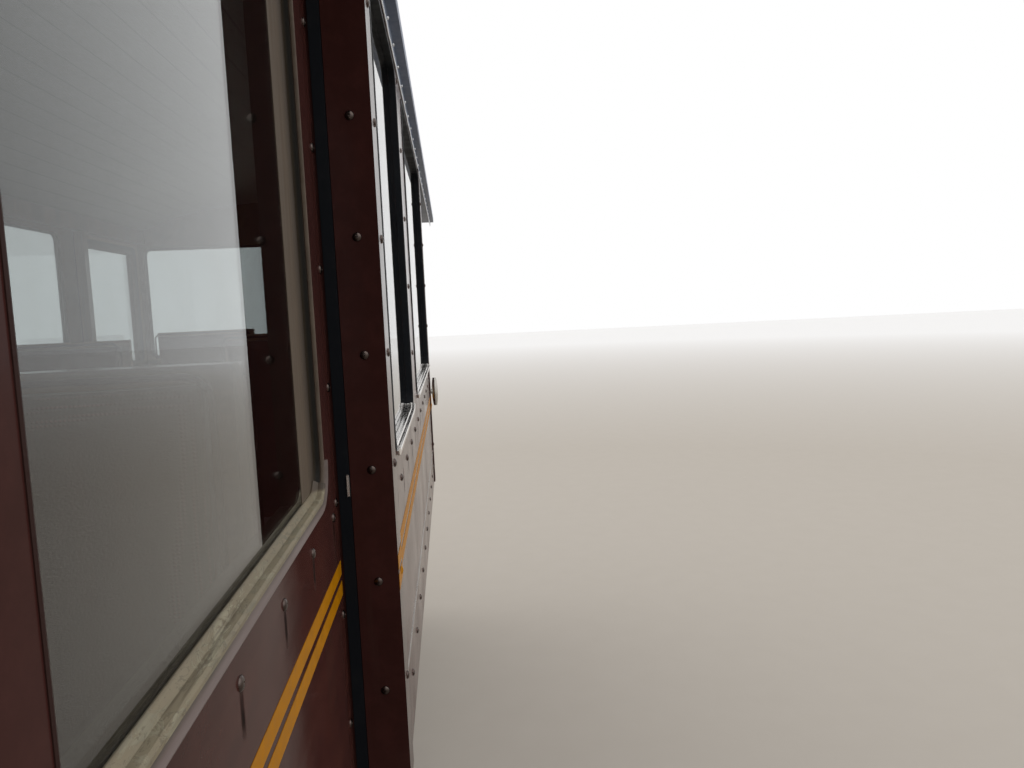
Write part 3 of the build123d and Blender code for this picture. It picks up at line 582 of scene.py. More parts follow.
def dull_bead():
    """Greyed cream paint of the small window beads, with dark brown painted shade on the groove lining behind the
    face, and maroon at the rear
    """
    f = Finish("dull_bead")
    cloud = f.noise(22, 4, 0.65)
    specks = f.ramp(f.noise(150, 3, 0.7), 0.52, 0.62)
    tone = f.blend(cloud, (0.075, 0.056, 0.042), (0.130, 0.100, 0.075))
    tone = f.layer(tone, specks, 0.45, (0.07, 0.05, 0.035))
    depth = f.absolute(f.y)
    # Painted shade: the groove lining behind the bead is dark brown, darkest next to the bead
    wall = f.blend(depth, (0.034, 0.024, 0.013), (0.008, 0.0065, 0.004), BAY_FACE - 0.0074, BAY_FACE - 0.0050)
    tone = f.blend(depth, wall, tone, BAY_FACE - 0.0027, BAY_FACE - 0.0023)
    lengthwise = past_bay(f)
    rear = f.fall(lengthwise, BAY_WINDOW[0] + 0.0030, BAY_WINDOW[0] + 0.0034)
    tone = f.mix(rear, tone, (0.026, 0.010, 0.008))
    rough = f.between(cloud, 0.38, 0.6)
    return f.shade(tone, rough, f.bump(specks, 0.2, 0.0004), Specular_IOR_Level=0.2)


def aged_sealant():
    """Pinkish grey sealant of the sill lips, with painted shade along its inner edge under the sill board"""
    f = Finish("aged_sealant")
    cloud = f.noise(1, 4, 0.65, (12, 90, 90))
    tone = f.blend(cloud, (0.115, 0.080, 0.070), (0.165, 0.125, 0.115))
    # Painted shade: the top of the lip, under the sill board, is darkened by a varying amount
    painted_shade_under_board = f.ramp(f.z, BAY_SILL_Z - 0.0052, BAY_SILL_Z - 0.0030)
    painted_shade_under_board = f.times(painted_shade_under_board, f.ramp(f.noise(1, 4, 0.7, (18, 60, 60)), 0.35, 0.6, 0.35, 0.9))
    tone = f.mix(painted_shade_under_board, tone, (0.055, 0.040, 0.030))
    return f.shade(tone, 0.55, f.bump(cloud, 0.2, 0.0005))


def varnished_wood(name, base, along):
    """Varnished timber with grain along one axis"""
    f = Finish(name)
    colour, figure = plank_wood(f, base, along)
    worn = f.ramp(f.noise(6, 4, 0.7), 0.55, 0.8)
    colour = f.layer(colour, worn, 0.4, tint(base, 0.5))
    rough = f.between(figure, 0.28, 0.46)
    return f.shade(colour, rough, f.bump(figure, 0.2, 0.0005), Coat_Weight=0.3, Coat_Roughness=0.12)


def floor_boards():
    """Worn boards 92 mm wide that run along the coach, with dark joints"""
    f = Finish("floor_boards")
    colour, figure = plank_wood(f, (0.155, 0.095, 0.055), 0)
    joint = f.fall(repeat(f, f.y, 0.046, 0.092), 0.0012, 0.0028)
    worn = f.times(f.fall(f.absolute(f.y), 0.04, 0.2), f.ramp(f.noise(5, 5), 0.35, 0.7))
    colour = f.layer(colour, worn, 0.6, (0.24, 0.18, 0.125))
    colour = f.mix(joint, colour, (0.012, 0.009, 0.006))
    height = f.minus(f.times(figure, 0.3), joint)
    return f.shade(colour, 0.6, f.bump(height, 0.5, 0.001))


def roof_finish(colour):
    """Blue-grey roof paint, streaked and lichened above, with a cream boarded ceiling below"""
    f = Finish("roof_paint")
    coarse = f.noise(3.5, 5, 0.7)
    fine = f.noise(90, 4, 0.7)
    top = f.blend(coarse, tint(colour, 0.8), tint(colour, 1.3))
    runs = f.ramp(f.noise(1, 4, 0.65, (26, 2, 26)), 0.55, 0.78)
    top = f.layer(top, runs, 0.4, (0.045, 0.045, 0.043))
    spots = f.ramp(f.noise(48, 4, 0.7), 0.66, 0.72)
    top = f.layer(top, spots, 0.6, (0.21, 0.21, 0.17))
    radius = distance(f, f.y, f.minus(f.z, CEILING[0]))
    inner = f.fall(radius, CEILING[1], CEILING[1] + 0.0006)
    board = f.fall(repeat(f, f.y, 0.03, 0.06), 0.0008, 0.002)
    ceiling = f.blend(coarse, (0.24, 0.215, 0.165), (0.30, 0.270, 0.210))
    ceiling = f.layer(ceiling, board, 0.75, (0.09, 0.07, 0.045))
    tone = f.mix(inner, top, ceiling)
    return f.shade(tone, f.between(fine, 0.34, 0.52), f.bump(fine, 0.15, 0.0005))


def moquette(colour):
    """Deep red moquette: cut pile with a small woven check"""
    f = Finish("moquette")
    warp, weft, rise = [f.ramp(repeat(f, value, 0, 0.0034), 0.0004, 0.0013) for value in (f.x, f.y, f.z)]
    pile = f.times(f.times(warp, weft), rise)
    across, down = [f.ramp(repeat(f, value, 0, 0.034), 0.006, 0.007) for value in (f.y, f.x)]
    check = f.times(across, down)
    cloud = f.noise(12, 4, 0.6)
    tone = f.mix(pile, tint(colour, 0.45), f.blend(cloud, tint(colour, 0.85), tint(colour, 1.25)))
    tone = f.layer(tone, check, 0.22, (0.045, 0.012, 0.02))
    height = f.plus(pile, f.times(f.noise(500, 2), 0.6))
    return f.shade(tone, 0.9, f.bump(height, 0.5, 0.0008), Sheen_Weight=0.35, Sheen_Roughness=0.5)


def piping_cloth():
    """Dark piping cord of the cushion seams"""
    f = Finish("piping_cloth")
    twist = f.noise(1, 2, 0.5, (260, 260, 260))
    tone = f.mix(twist, (0.03, 0.008, 0.009), (0.09, 0.02, 0.022))
    return f.shade(tone, 0.8, f.bump(twist, 0.4, 0.0005))


def studio_floor():
    """Pale warm floor that fades into the white surroundings"""
    f = Finish("studio_floor")
    tone = f.blend(f.noise(9, 3), (0.515, 0.470, 0.415), (0.525, 0.480, 0.425))
    tone = f.blend(distance(f, f.x, f.y), tone, (0.93, 0.92, 0.91), 7, 26)
    return f.shade(tone, 0.9, Specular_IOR_Level=0.1)


FINISHES = {}


def build_finishes(colours):
    """Make every finish once, under the name that the pieces ask for."""
    enamels = (
        ("bay_enamel", inner_face_of_bays, 0.35),
        ("leaf_enamel", inner_face_of_leaves, 0.2),
        ("proud_enamel", inner_face_of_proud, 0.2),
        ("end_enamel", inner_face_of_ends, 0),
    )
    FINISHES.update({name: enamel(name, colours.maroon, inside, film) for name, inside, film in enamels})
    FINISHES.update(
        trim_enamel=enamel("trim_enamel", tint(colours.maroon, 0.72)),
        chassis=chassis_paint("chassis_paint", colours.chassis),
        wheel=wheel_steel(),
        spring=spring_steel(),
        bright=metal("bright_aluminium", (0.79, 0.76, 0.73), 0.16, 0.36),
        rivet=metal("rivet_aluminium", (0.62, 0.64, 0.66), 0.22, 0.42, 30.0),
        handle=metal("handle_metal", (0.56, 0.54, 0.50), 0.2, 0.42, 90.0),
        zinc=metal("zinc_screws", (0.080, 0.062, 0.055), 0.18, 0.34, 200.0),
        rubber=rubber(),
        glass=glass(),
        lining=yellow_lining(colours.lining),
        sash=weathered_sash(colours.cream),
        bead=dull_bead(),
        lip=aged_sealant(),
        frames=varnished_wood("framing_wood", (0.22, 0.105, 0.045), 2),
        seats=varnished_wood("seat_wood", (0.27, 0.135, 0.06), 1),
        floor=floor_boards(),
        roof=roof_finish(colours.roof),
        cloth=moquette(colours.cloth),
        piping=piping_cloth(),
    )


NODE_FINISHES = (
    ("_glass", "glass"),
    ("_handle", "handle"),
    ("_leaf", "leaf_enamel"),
    ("proud_sections", "proud_enamel"),
    ("end_wall", "end_enamel"),
    ("bay_panels", "bay_enamel"),
    ("lower_panels", "bay_enamel"),
    ("skirts", "bay_enamel"),
    ("corner_angles", "trim_enamel"),
    ("door_hinges", "trim_enamel"),
    ("sill_rails", "bright"),
    ("gutters", "roof"),
    ("window_liners", "sash"),
    ("seat_bases", "seats"),
    ("seat_back_boards", "seats"),
    ("seat_", "cloth"),
    ("cantrails", "frames"),
    ("door_posts", "frames"),
    ("floor", "floor"),
    ("roof", "roof"),
    ("wheelset", "wheel"),
    ("_springs", "spring"),
    ("_axleboxes", "spring"),
)


# Building meshes
def placed(name, data):
    """New object in the scene."""
    holder = bpy.data.objects.new(name, data)
    bpy.context.scene.collection.objects.link(holder)
    return holder


def plain_mesh(name, points, faces):
    mesh = bpy.data.meshes.new(name)
    mesh.from_pydata(points, [], faces)
    return mesh


def applied(holder):
    """Mesh of an object with its modifiers, which are then taken off."""
    graph = bpy.context.evaluated_depsgraph_get()
    mesh = bpy.data.meshes.new_from_object(holder.evaluated_get(graph))
    holder.modifiers.clear()
    return mesh


class Shape:
    """Points and faces of one piece while it is being made"""

    def __init__(self):
        self.points = []
        self.faces = []

    def add(self, points, faces):
        base = len(self.points)
        self.points += [tuple(point) for point in points]
        self.faces += [tuple(base + i for i in face) for face in faces]

    def loft(self, loops, ring=False):
        """Skin through loops of equally many points, closed as a ring or by a cap at each end."""
        count = len(loops[0])
        faces = []
        for k in range(len(loops) if ring else len(loops) - 1):
            near, far = k * count, ((k + 1) % len(loops)) * count
            for i in range(count):
                j = (i + 1) % count
                faces.append((near + i, near + j, far + j, far + i))
        if not ring:
            faces.append(tuple(reversed(range(count))))
            faces.append(tuple(range((len(loops) - 1) * count, len(loops) * count)))
        self.add([point for loop in loops for point in loop], faces)

    def box(self, x_span, y_span, z_span):
        corners = [(x_span[0], y_span[0]), (x_span[1], y_span[0]), (x_span[1], y_span[1]), (x_span[0], y_span[1])]
        self.loft([[(x, y, z) for x, y in corners] for z in z_span])

    def tube(self, path, radius, sides=8, ring=False):
        """Round bar that follows a path."""
        loops = []
        count = len(path)
        for k, point in enumerate(path):
            before = path[(k - 1) % count] if ring or k else path[k]
            after = path[(k + 1) % count] if ring or k + 1 < count else path[k]
            ahead = (Vector(after) - Vector(before)).normalized()
            side = ahead.cross(Vector((0, 0, 1)) if abs(ahead.z) < 0.9 else Vector((1, 0, 0))).normalized()
            up = side.cross(ahead)
            turns = [2 * math.pi * i / sides for i in range(sides)]
            loops.append([Vector(point) + radius * (math.cos(a) * side + math.sin(a) * up) for a in turns])
        self.loft(loops, ring)

    def piece(self, name, finish, body, slot, smooth=35):
        """Turn the shape into an object that rides on a body."""
        mesh = plain_mesh(name, self.points, self.faces)
        work = bmesh.new()
        work.from_mesh(mesh)
        bmesh.ops.remove_doubles(work, verts=work.verts, dist=1e-6)
        bmesh.ops.recalc_face_normals(work, faces=work.faces)
        work.to_mesh(mesh)
        work.free()
        mesh.polygons.foreach_set("use_smooth", [True] * len(mesh.polygons))
        mesh.set_sharp_from_angle(angle=math.radians(smooth))
        return stand(name, mesh, finish, body, slot)


def stand(name, mesh, finish, body, slot):
    """Give a mesh its finish and its body."""
    piece = placed(name, mesh)
    mesh.materials.clear()
    mesh.materials.append(FINISHES[finish])
    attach(piece, body)
    return piece


def side_box(shape, side, x_span, depth, z_span):
    """Box on one side of the coach, between two distances from the middle."""
    shape.box(x_span, sorted((side * depth[0], side * depth[1])), z_span)


def rounded(a_span, b_span, corner, grow=0.0, steps=6):
    """Points round a rounded rectangle, grown by a margin."""
    radius = max(corner + grow, 0.0005)
    low_a, high_a = a_span[0] - grow + radius, a_span[1] + grow - radius
    low_b, high_b = b_span[0] - grow + radius, b_span[1] + grow - radius
    points = []
    for k, (a, b) in enumerate(((high_a, high_b), (low_a, high_b), (low_a, low_b), (high_a, low_b))):
        for i in range(steps + 1):
            turn = math.pi / 2 * (k + i / steps)
            points.append((a + radius * math.cos(turn), b + radius * math.sin(turn)))
    return points


def section(points, face, way=1):
    """Section of a moulding, from millimetres of growth and of stand from a face."""
    return [(grow / 1000, way * (face + stand / 1000)) for grow, stand in points]


def side_ring(shape, side, x_span, z_span, profile):
    """Moulding round a side window. Its profile gives, for each corner, growth and distance from the middle."""
    loops = [[(x, side * y, z) for x, z in rounded(x_span, z_span, CORNER, grow)] for grow, y in profile]
    shape.loft(loops, ring=True)


def sill_strip(shape, side, x_span, sill, profile, turns, steps=8):
    """Moulding along the sill of a window and up round its rear and front corners, by angles in degrees."""
    loops = []
    for grow, y in profile:
        radius = CORNER + grow
        line = []
        for way, turn in zip((-1, 1), turns):
            if turn == 0:
                line.append((x_span[0], sill - grow))
                continue
            middle = x_span[0] + CORNER if way < 0 else x_span[1] - CORNER
            for i in range(steps + 1):
                angle = math.radians(turn) * (i if way > 0 else steps - i) / steps
                line.append((middle + way * radius * math.sin(angle), sill + CORNER - radius * math.cos(angle)))
        loops.append([(x, side * y, z) for x, z in line])
    shape.loft([list(loop) for loop in zip(*loops)])


def pane(shape, side, outline, face):
    """Sheet of glass with its outer surface at a distance from the middle."""
    shape.loft([[(x, side * y, z) for x, z in outline] for y in (face - PANE, face)])


def end_ring(shape, y_span, profile):
    """Moulding round an end window, with its profile as growth and place along the coach."""
    loops = [[(x, y, z) for y, z in rounded(y_span, (SILL_Z, WINDOW_TOP_Z), CORNER, grow)] for grow, x in profile]
    shape.loft(loops, ring=True)


def half_round(width, height, steps=4):
    """Section of a half-round bead: growth from its inner edge, and stand of its surface."""
    points = [(0.0, -0.0004)]
    for i in range(steps + 1):
        turn = math.pi * i / steps
        points.append((width / 2 - width / 2 * math.cos(turn), height * math.sin(turn)))
    return points + [(width, -0.0004)]


# Fasteners
def head_tree():
    """Tree that stands a head on every point and turns it the way that the point faces."""
    tree = bpy.data.node_groups.new("coach_heads", "GeometryNodeTree")
    sockets = tree.interface
    sockets.new_socket(name="Geometry", in_out="INPUT", socket_type="NodeSocketGeometry")
    names = {}
    for name, kind in (("Head", "Object"), ("Size", "Float"), ("Finish", "Material"), ("Seed", "Int")):
        socket = sockets.new_socket(name=name, in_out="INPUT", socket_type=f"NodeSocket{kind}")
        names[name] = socket.identifier
    sockets.new_socket(name="Geometry", in_out="OUTPUT", socket_type="NodeSocketGeometry")
    new = tree.nodes.new
    start, end = new("NodeGroupInput"), new("NodeGroupOutput")
    head = new("GeometryNodeObjectInfo")
    facing = new("GeometryNodeInputNamedAttribute")
    facing.data_type = "FLOAT_VECTOR"
    facing.inputs["Name"].default_value = "facing"
    align = new("FunctionNodeAlignRotationToVector")
    align.axis = "Z"
    chance = new("FunctionNodeRandomValue")
    chance.data_type = "FLOAT"
    chance.inputs[3].default_value = 2 * math.pi
    spin = new("FunctionNodeAxisAngleToRotation")
    spin.inputs["Axis"].default_value = (0, 0, 1)
    turn = new("FunctionNodeRotateRotation")
    turn.rotation_space = "LOCAL"
    place = new("GeometryNodeInstanceOnPoints")
    real = new("GeometryNodeRealizeInstances")
    paint = new("GeometryNodeSetMaterial")
    for source, output, target, entry in (
        (start, "Head", head, "Object"),
        (start, "Geometry", place, "Points"),
        (head, "Geometry", place, "Instance"),
        (facing, "Attribute", align, "Vector"),
        (start, "Seed", chance, "Seed"),
        (chance, 1, spin, "Angle"),
        (align, "Rotation", turn, "Rotation"),
        (spin, "Rotation", turn, "Rotate By"),
        (turn, "Rotation", place, "Rotation"),
        (start, "Size", place, "Scale"),
        (place, "Instances", real, "Geometry"),
        (real, "Geometry", paint, "Geometry"),
        (start, "Finish", paint, "Material"),
        (paint, "Geometry", end, "Geometry"),
    ):
        tree.links.new(source.outputs[output], target.inputs[entry])
    return tree, names


def turned_head(name, profile, sides):
    """Head one unit wide, turned about Z from a profile that ends on the axis. Six sides make an unsmoothed nut."""
    shape = Shape()
    smooth = sides > 6
    loops = []
    for radius, z in profile[:-1]:
        turns = [2 * math.pi * i / sides for i in range(sides)]
        loops.append([(radius * math.cos(a), radius * math.sin(a), z) for a in turns])
    shape.loft(loops)
    mesh = plain_mesh(name, shape.points, shape.faces)
    mesh.polygons.foreach_set("use_smooth", [smooth] * len(mesh.polygons))
    if smooth:
        mesh.set_sharp_from_angle(angle=math.radians(50))
    return placed(name, mesh)


class Fasteners:
    """Points of the heads of one kind, gathered for each body"""

    def __init__(self):
        self.places = {}

    def add(self, body, point, facing):
        self.places.setdefault(body, []).append((Vector(point), Vector(facing)))

    def grid(self, body, side, face, start, columns, rows):
        """Heads on one side, where columns, measured from a start, cross rows."""
        for x in columns:
            for z in rows:
                self.add(body, (start + x, side * face, z), (0, side, 0))

    def stand_all(self, label, profile, sides, size, finish, slot, seed):
        """Grow the heads by Geometry Nodes and leave one plain mesh for each body."""
        tree, names = head_tree()
        head = turned_head(label, profile, sides)
        for body, heads in self.places.items():
            name = f"{label}_{body}"
            points = plain_mesh(name, [place for place, _ in heads], [])
            attribute = points.attributes.new("facing", "FLOAT_VECTOR", "POINT")
            attribute.data.foreach_set("vector", [value for _, facing in heads for value in facing])
            carrier = placed(name, points)
            grow = carrier.modifiers.new("heads", "NODES")
            grow.node_group = tree
            grow[names["Head"]] = head
            grow[names["Size"]] = size
            grow[names["Finish"]] = FINISHES[finish]
            grow[names["Seed"]] = seed
            mesh = applied(carrier)
            bpy.data.objects.remove(carrier)
            stand(name, mesh, finish, body, slot)
        bpy.data.objects.remove(head)


def steps_between(start, end, pitch):
    """Evenly pitched values from a start up to an end."""
    count = int(math.floor((end - start) / pitch + 1e-6)) + 1
    return [start + k * pitch for k in range(max(count, 0))]


def side_screws(heads, painted, sizes):
    """Screws of the sides: sill rows, pillar columns, cover angles, gutter boards and lower edges."""
    line_reach = sizes.line_gap / 2 + sizes.line_width
    column = steps_between(PILLAR_ROW - 4 * sizes.column_pitch, PILLAR_TOP, sizes.column_pitch)
    angle_column = steps_between(ANGLE_ROW - 2 * sizes.angle_pitch, ANGLE_TOP, sizes.angle_pitch)
    bay_start, bay_pitch, bay_z = BAY_ROW
    proud_start, proud_pitch, proud_z = PROUD_ROW
    sill_row = steps_between(bay_start - 4 * bay_pitch, bay_start, bay_pitch)
    proud_row = steps_between(proud_start, PROUD - 0.06, proud_pitch)
    pillar = (SMALL_WINDOW[1] + LARGE_WINDOW[0]) / 2
    for side in SIDES:
        for start in BAYS:
            heads.grid("root", side, BAY_FACE, start, sill_row, [bay_z])
            heads.grid("root", side, BAY_FACE, start, PILLAR_COLUMNS, column)
            heads.grid("root", side, BAY_FACE, start, steps_between(*GUTTER_REACH, bay_pitch), [GUTTER_ROW])
            heads.grid("root", side, LOW_FACE, start, steps_between(*PANEL_REACH, 2 * bay_pitch), PANEL_ROWS)
        for start in PROUDS:
            heads.grid("root", side, FACE, start, proud_row, (proud_z, LOWER_ROW))
            heads.grid("root", side, FACE, start, [pillar], column[3:])
            heads.grid("root", side, LOW_FACE, start, steps_between(*PROUD_REACH, 2 * proud_pitch), PANEL_ROWS)
            for corner, way in ((start, -1), (start + PROUD, 1)):
                for z in angle_column:
                    heads.add("root", (corner + way * ANGLE, side * (FACE - ANGLE_SIDE), z), (way, 0, 0))
                    kind = painted if abs(z - sizes.line_height) < line_reach else heads
                    kind.grid("root", side, FACE + ANGLE, corner, [-way * ANGLE_FRONT], [z])
        for way in ENDS:
            for z in angle_column:
                heads.add("root", (way * (HALF + ANGLE), side * (BAY_FACE - CORNER_SIDE), z), (way, 0, 0))
        heads.grid("root", side, LOW_FACE, 0.0, steps_between(*EDGE_REACH, EDGE_PITCH), [EDGE_ROW])


def door_screws(heads, sizes):
    """Screws up both edges of every leaf and along its lower panel."""
    for body, side, start in doors():
        for z in steps_between(PILLAR_ROW - 3 * sizes.column_pitch, LEAF_TOP, sizes.column_pitch):
            heads.grid(body, side, BAY_FACE, start, LEAF_COLUMNS, [z])
        heads.grid(body, side, LOW_FACE, start, steps_between(*LEAF_REACH, LEAF_PITCH), LEAF_ROWS)


def end_screws(heads):
    """Screws round the end windows and across the waist of both ends."""
    for way in ENDS:
        for y in steps_between(*END_REACH, END_PITCH):
            for z in END_ROWS:
                heads.add("root", (way * HALF, y, z), (way, 0, 0))


# Operators
class COACH_OT_finishes(bpy.types.Operator):
    """Give every solid of the coach its finish"""

    bl_idname = "coach.finishes"
    bl_label = "Finishes"

    def execute(self, context):
        build_finishes(context.scene.coach_colours)
        for name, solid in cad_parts.items():
            finish = next((finish for word, finish in NODE_FINISHES if word in name), "chassis")
            solid.data.materials.clear()
            solid.data.materials.append(FINISHES[finish])
        return {"FINISHED"}


class COACH_OT_lining(bpy.types.Operator):
    """Paint the two yellow lines along the panels, cover angles and doors"""

    bl_idname = "coach.lining"
    bl_label = "Lining"

    def execute(self, context):
        sizes = context.scene.coach_sizes

        def paint(shape, side, face, *spans):
            low = sizes.line_height - sizes.line_gap / 2 - sizes.line_width
            for z in (low, sizes.line_height + sizes.line_gap / 2):
                for span in spans:
                    side_box(shape, side, span, (face, face + LINE_FILM), (z, z + sizes.line_width))

        body = Shape()
        for side in SIDES:
            for i, start in enumerate(BAYS):
                first = start + (ANGLE_LEG if i == 0 else BAND)
                last = start + BAY - (ANGLE_LEG if i == 2 else BAND)
                rear, front = start + DOOR[0] - DOOR_GAP, start + DOOR[1] + DOOR_GAP
                paint(body, side, BAY_FACE, (first, rear), (front, last))
            for start in PROUDS:
                end = start + PROUD
                paint(body, side, FACE, (start + ANGLE_LEG, end - ANGLE_LEG))
                paint(body, side, FACE + ANGLE, (start - ANGLE, start + ANGLE_LEG), (end - ANGLE_LEG, end + ANGLE))
            paint(body, side, BAY_FACE + ANGLE, (-HALF - ANGLE, -HALF + ANGLE_LEG), (HALF - ANGLE_LEG, HALF + ANGLE))
        body.piece("lining_body", "lining", "root", "maroon_paint")
        for door, side, start in doors():
            leaf = Shape()
            paint(leaf, side, BAY_FACE, (start + DOOR[0], start + DOOR[1]))
            leaf.piece(f"lining_{door}", "lining", door, "maroon_paint")
        return {"FINISHED"}


class COACH_OT_rubber(bpy.types.Operator):
    """Fit the black corner bands and the black surrounds of the windows"""

    bl_idname = "coach.rubber"
    bl_label = "Rubber"

    def execute(self, context):
        body = Shape()
        for side, corner, way in proud_corners():
            span = sorted((corner, corner + way * BAND))
            side_box(body, side, span, (BAY_FACE + SEAL[0], BAY_FACE + SEAL[1]), (PANEL_Z, GUTTER_Z))
        for side, span in proud_windows():
            side_ring(body, side, span, (SILL_Z, PROUD_TOP_Z), section(PROUD_RUBBER, FACE))
        for way, span in end_windows():
            end_ring(body, span, section(END_RUBBER, HALF, way))
            end_ring(body, span, section(END_FLANGE, HALF, way))
        body.piece("rubber_body", "rubber", "root", "black_paint")
        for door, side, start in doors():
            leaf = Shape()
            span = (start + DOOR_WINDOW[0], start + DOOR_WINDOW[1])
            side_ring(leaf, side, span, (SILL_Z, WINDOW_TOP_Z), section(DOOR_RUBBER, BAY_FACE))
            leaf.piece(f"rubber_{door}", "rubber", door, "black_paint")
        return {"FINISHED"}


class COACH_OT_panes(bpy.types.Operator):
    """Glaze the sides: panes just behind the face of the proud sections, and panes in the sashes of the bays"""

    bl_idname = "coach.panes"
    bl_label = "Panes"

    def execute(self, context):
        panes = Shape()
        for side, span in proud_windows():
            outline = rounded(span, (SILL_Z, PROUD_TOP_Z), CORNER, PANE_EDGE)
            pane(panes, side, outline, FACE - PROUD_PANE_DEPTH)
        rear, front, bottom, top = [margin - PANE_EDGE for margin in SASH_LIGHT]
        for side, span in bay_windows():
            x_span, z_span = (span[0] + rear, span[1] - front), (BAY_SILL_Z + bottom, WINDOW_TOP_Z - top)
            pane(panes, side, light_outline(x_span, z_span), BAY_FACE - BAY_PANE_DEPTH)
        piece = panes.piece("side_panes", "glass", "root", "window_glass")
        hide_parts("side_glass")
        return {"FINISHED"}


def light_outline(x_span, z_span):
    """Outline of a pane in the grooves of its sash: square at its front corners, rounded at its rear ones."""
    steps = 6
    ring = rounded(x_span, z_span, CORNER - SASH_LIGHT[0] + PANE_EDGE, steps=steps)
    return [(x_span[1], z) for z in z_span] + ring[steps + 1:3 * (steps + 1)]


class COACH_OT_rails(bpy.types.Operator):
    """Lay the ribbed aluminium rails on the sills of the proud windows"""

    bl_idname = "coach.rails"
    bl_label = "Sill rails"

    def execute(self, context):
        rails = Shape()
        for side, span in proud_windows():
            sill_strip(rails, side, span, SILL_Z, section(SILL_RAIL, FACE), (40, 40))
        piece = rails.piece("sill_rail_strips", "bright", "root", "aluminium_rail")
        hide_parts("sill_rails")
        return {"FINISHED"}


class COACH_OT_beads(bpy.types.Operator):
    """Fit the beads of the windows, the thin strips of the panels and the small clips on the cover angles"""

    bl_idname = "coach.beads"
    bl_label = "Beads"

    def execute(self, context):
        body, dull, strips = Shape(), Shape(), Shape()
        for side in SIDES:
            for start in PROUDS:
                reach = (start + STRIP_MARGIN, start + PROUD - STRIP_MARGIN)
                side_box(strips, side, reach, (FACE - 0.0002, FACE + 0.0009), STRIP_ROWS)
        for side, corner, way in proud_corners():
            clip = sorted(corner + way * reach for reach in CLIP_SPAN)
            side_box(body, side, clip, CLIP_DEPTHS, CLIP_ROWS)
        for side, span in bay_windows():
            # The groove lining carries dark painted shade from the bead finish
            for profile in (BAY_BEAD, GROOVE_SHADE_LINING):
                side_ring(dull, side, span, (BAY_SILL_Z, WINDOW_TOP_Z), section(profile, BAY_FACE))
        bead = half_round(context.scene.coach_sizes.bead, 0.002)
        for way, span in end_windows():
            end_ring(body, span, [(grow + 0.010, way * (HALF + stand)) for grow, stand in bead])
        body.piece("beads_body", "bright", "root", "aluminium_rail")
        dull.piece("beads_bays", "bead", "root", "cream_wood")
        strips.piece("panel_strips", "handle", "root", "aluminium_rail")
        return {"FINISHED"}


class COACH_OT_sashes(bpy.types.Operator):
    """Fit the grooved sill boards of the door bays and the sealant lips under them"""

    bl_idname = "coach.sashes"
    bl_label = "Sills"

    def execute(self, context):
        boards, lips = Shape(), Shape()
        for side, (rear, front) in bay_windows():
            span = (rear + 0.010, front)
            sill_strip(boards, side, span, BAY_SILL_Z, section(SILL_BOARD, BAY_FACE), (0, 50))
            sill_strip(lips, side, span, BAY_SILL_Z, section(SILL_LIP, BAY_FACE), (0, 88))
        boards.piece("sill_boards", "sash", "root", "cream_wood")
        lips.piece("sill_lips", "lip", "root", "cream_wood")
        return {"FINISHED"}


class COACH_OT_fasteners(bpy.types.Operator):
    """Grow the screws, rivets and bolts by Geometry Nodes"""

    bl_idname = "coach.fasteners"
    bl_label = "Fasteners"

    def execute(self, context):
        sizes = context.scene.coach_sizes
        screws, painted, rivets, bolts = Fasteners(), Fasteners(), Fasteners(), Fasteners()
        side_screws(screws, painted, sizes)
        door_screws(screws, sizes)
        end_screws(screws)
        screws.stand_all("screws", DOME, 12, sizes.screw_head, "zinc", "handle_metal", 7)
        painted.stand_all("line_screws", DOME, 12, sizes.screw_head, "lining", "maroon_paint", 11)
        for side in SIDES:
            row = steps_between(0.03 - HALF, HALF - 0.03, sizes.rivet_pitch)
            rivets.grid("root", side, FACE + ANGLE, 0.0, row, [GUTTER_Z + 0.0055])
        rivets.stand_all("rivets", BUTTON, 8, sizes.rivet_head, "rivet", "aluminium_rail", 3)
        running_gear_bolts(bolts)
        bolts.stand_all("bolts", NUT, 6, sizes.bolt_head, "spring", "black_paint", 5)
        return {"FINISHED"}


def running_gear_bolts(bolts):
    """Bolts of the bogie side plates, axleboxes, spring buckles, coupler flanges and headstocks."""
    for name, centre in (("rear", -BOGIE_X), ("front", BOGIE_X)):
        body = f"bogie_{name}"
        for side in SIDES:
            face, columns, rows = PLATE_BOLTS
            bolts.grid(body, side, face, centre, columns, rows)
            for axle in (centre - AXLE_X, centre + AXLE_X):
                for face, columns, rows in AXLE_BOLTS:
                    bolts.grid(body, side, face, axle, columns, rows)
    for way in ENDS:
        for face, columns, rows in END_BOLTS:
            for y in columns:
                for z in rows:
                    bolts.add("root", (way * face, y, z), (way, 0, 0))


class COACH_OT_roof(bpy.types.Operator):
    """Lay the cover straps over the roof's joints and roll the crinkled lower edges of the drip strips"""

    bl_idname = "coach.roof"
    bl_label = "Roof trim"

    def execute(self, context):
        low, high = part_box("roof")
        rise = high.z - (SOFFIT_Z + 0.018)
        radius = (high.y**2 + rise**2) / (2 * rise)
        centre = high.z - radius
        reach = math.asin((high.y - 0.004) / radius)
        straps = Shape()
        for x in (low.x + 0.02, *BAYS[1:], *PROUDS, high.x - 0.02):
            loops = []
            for k in range(25):
                turn = reach * (k / 12 - 1)
                outline = [(x + across, radius + up) for across, up in section(STRAP, 0.0)]
                loops.append([(a, r * math.sin(turn), centre + r * math.cos(turn)) for a, r in outline])
            straps.loft(loops)
        straps.piece("roof_straps", "roof", "root", "roof_paint")
        edges = Shape()
        start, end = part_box("gutters")[0].x + 0.004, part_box("gutters")[1].x - 0.004
        steps = 320
        for side in SIDES:
            path = []
            for k in range(steps + 1):
                x = start + (end - start) * k / steps
                out, up = [0.0006 * noise.noise(Vector((x * 24.0, side * 5.0, seed))) for seed in (1.0, 9.0)]
                path.append((x, side * (FACE + 0.0012 + out), GUTTER_Z - 0.0002 + up))
            edges.tube(path, 0.0013, 6)
        edges.piece("drip_edges", "rivet", "root", "aluminium_rail", 80)
        return {"FINISHED"}


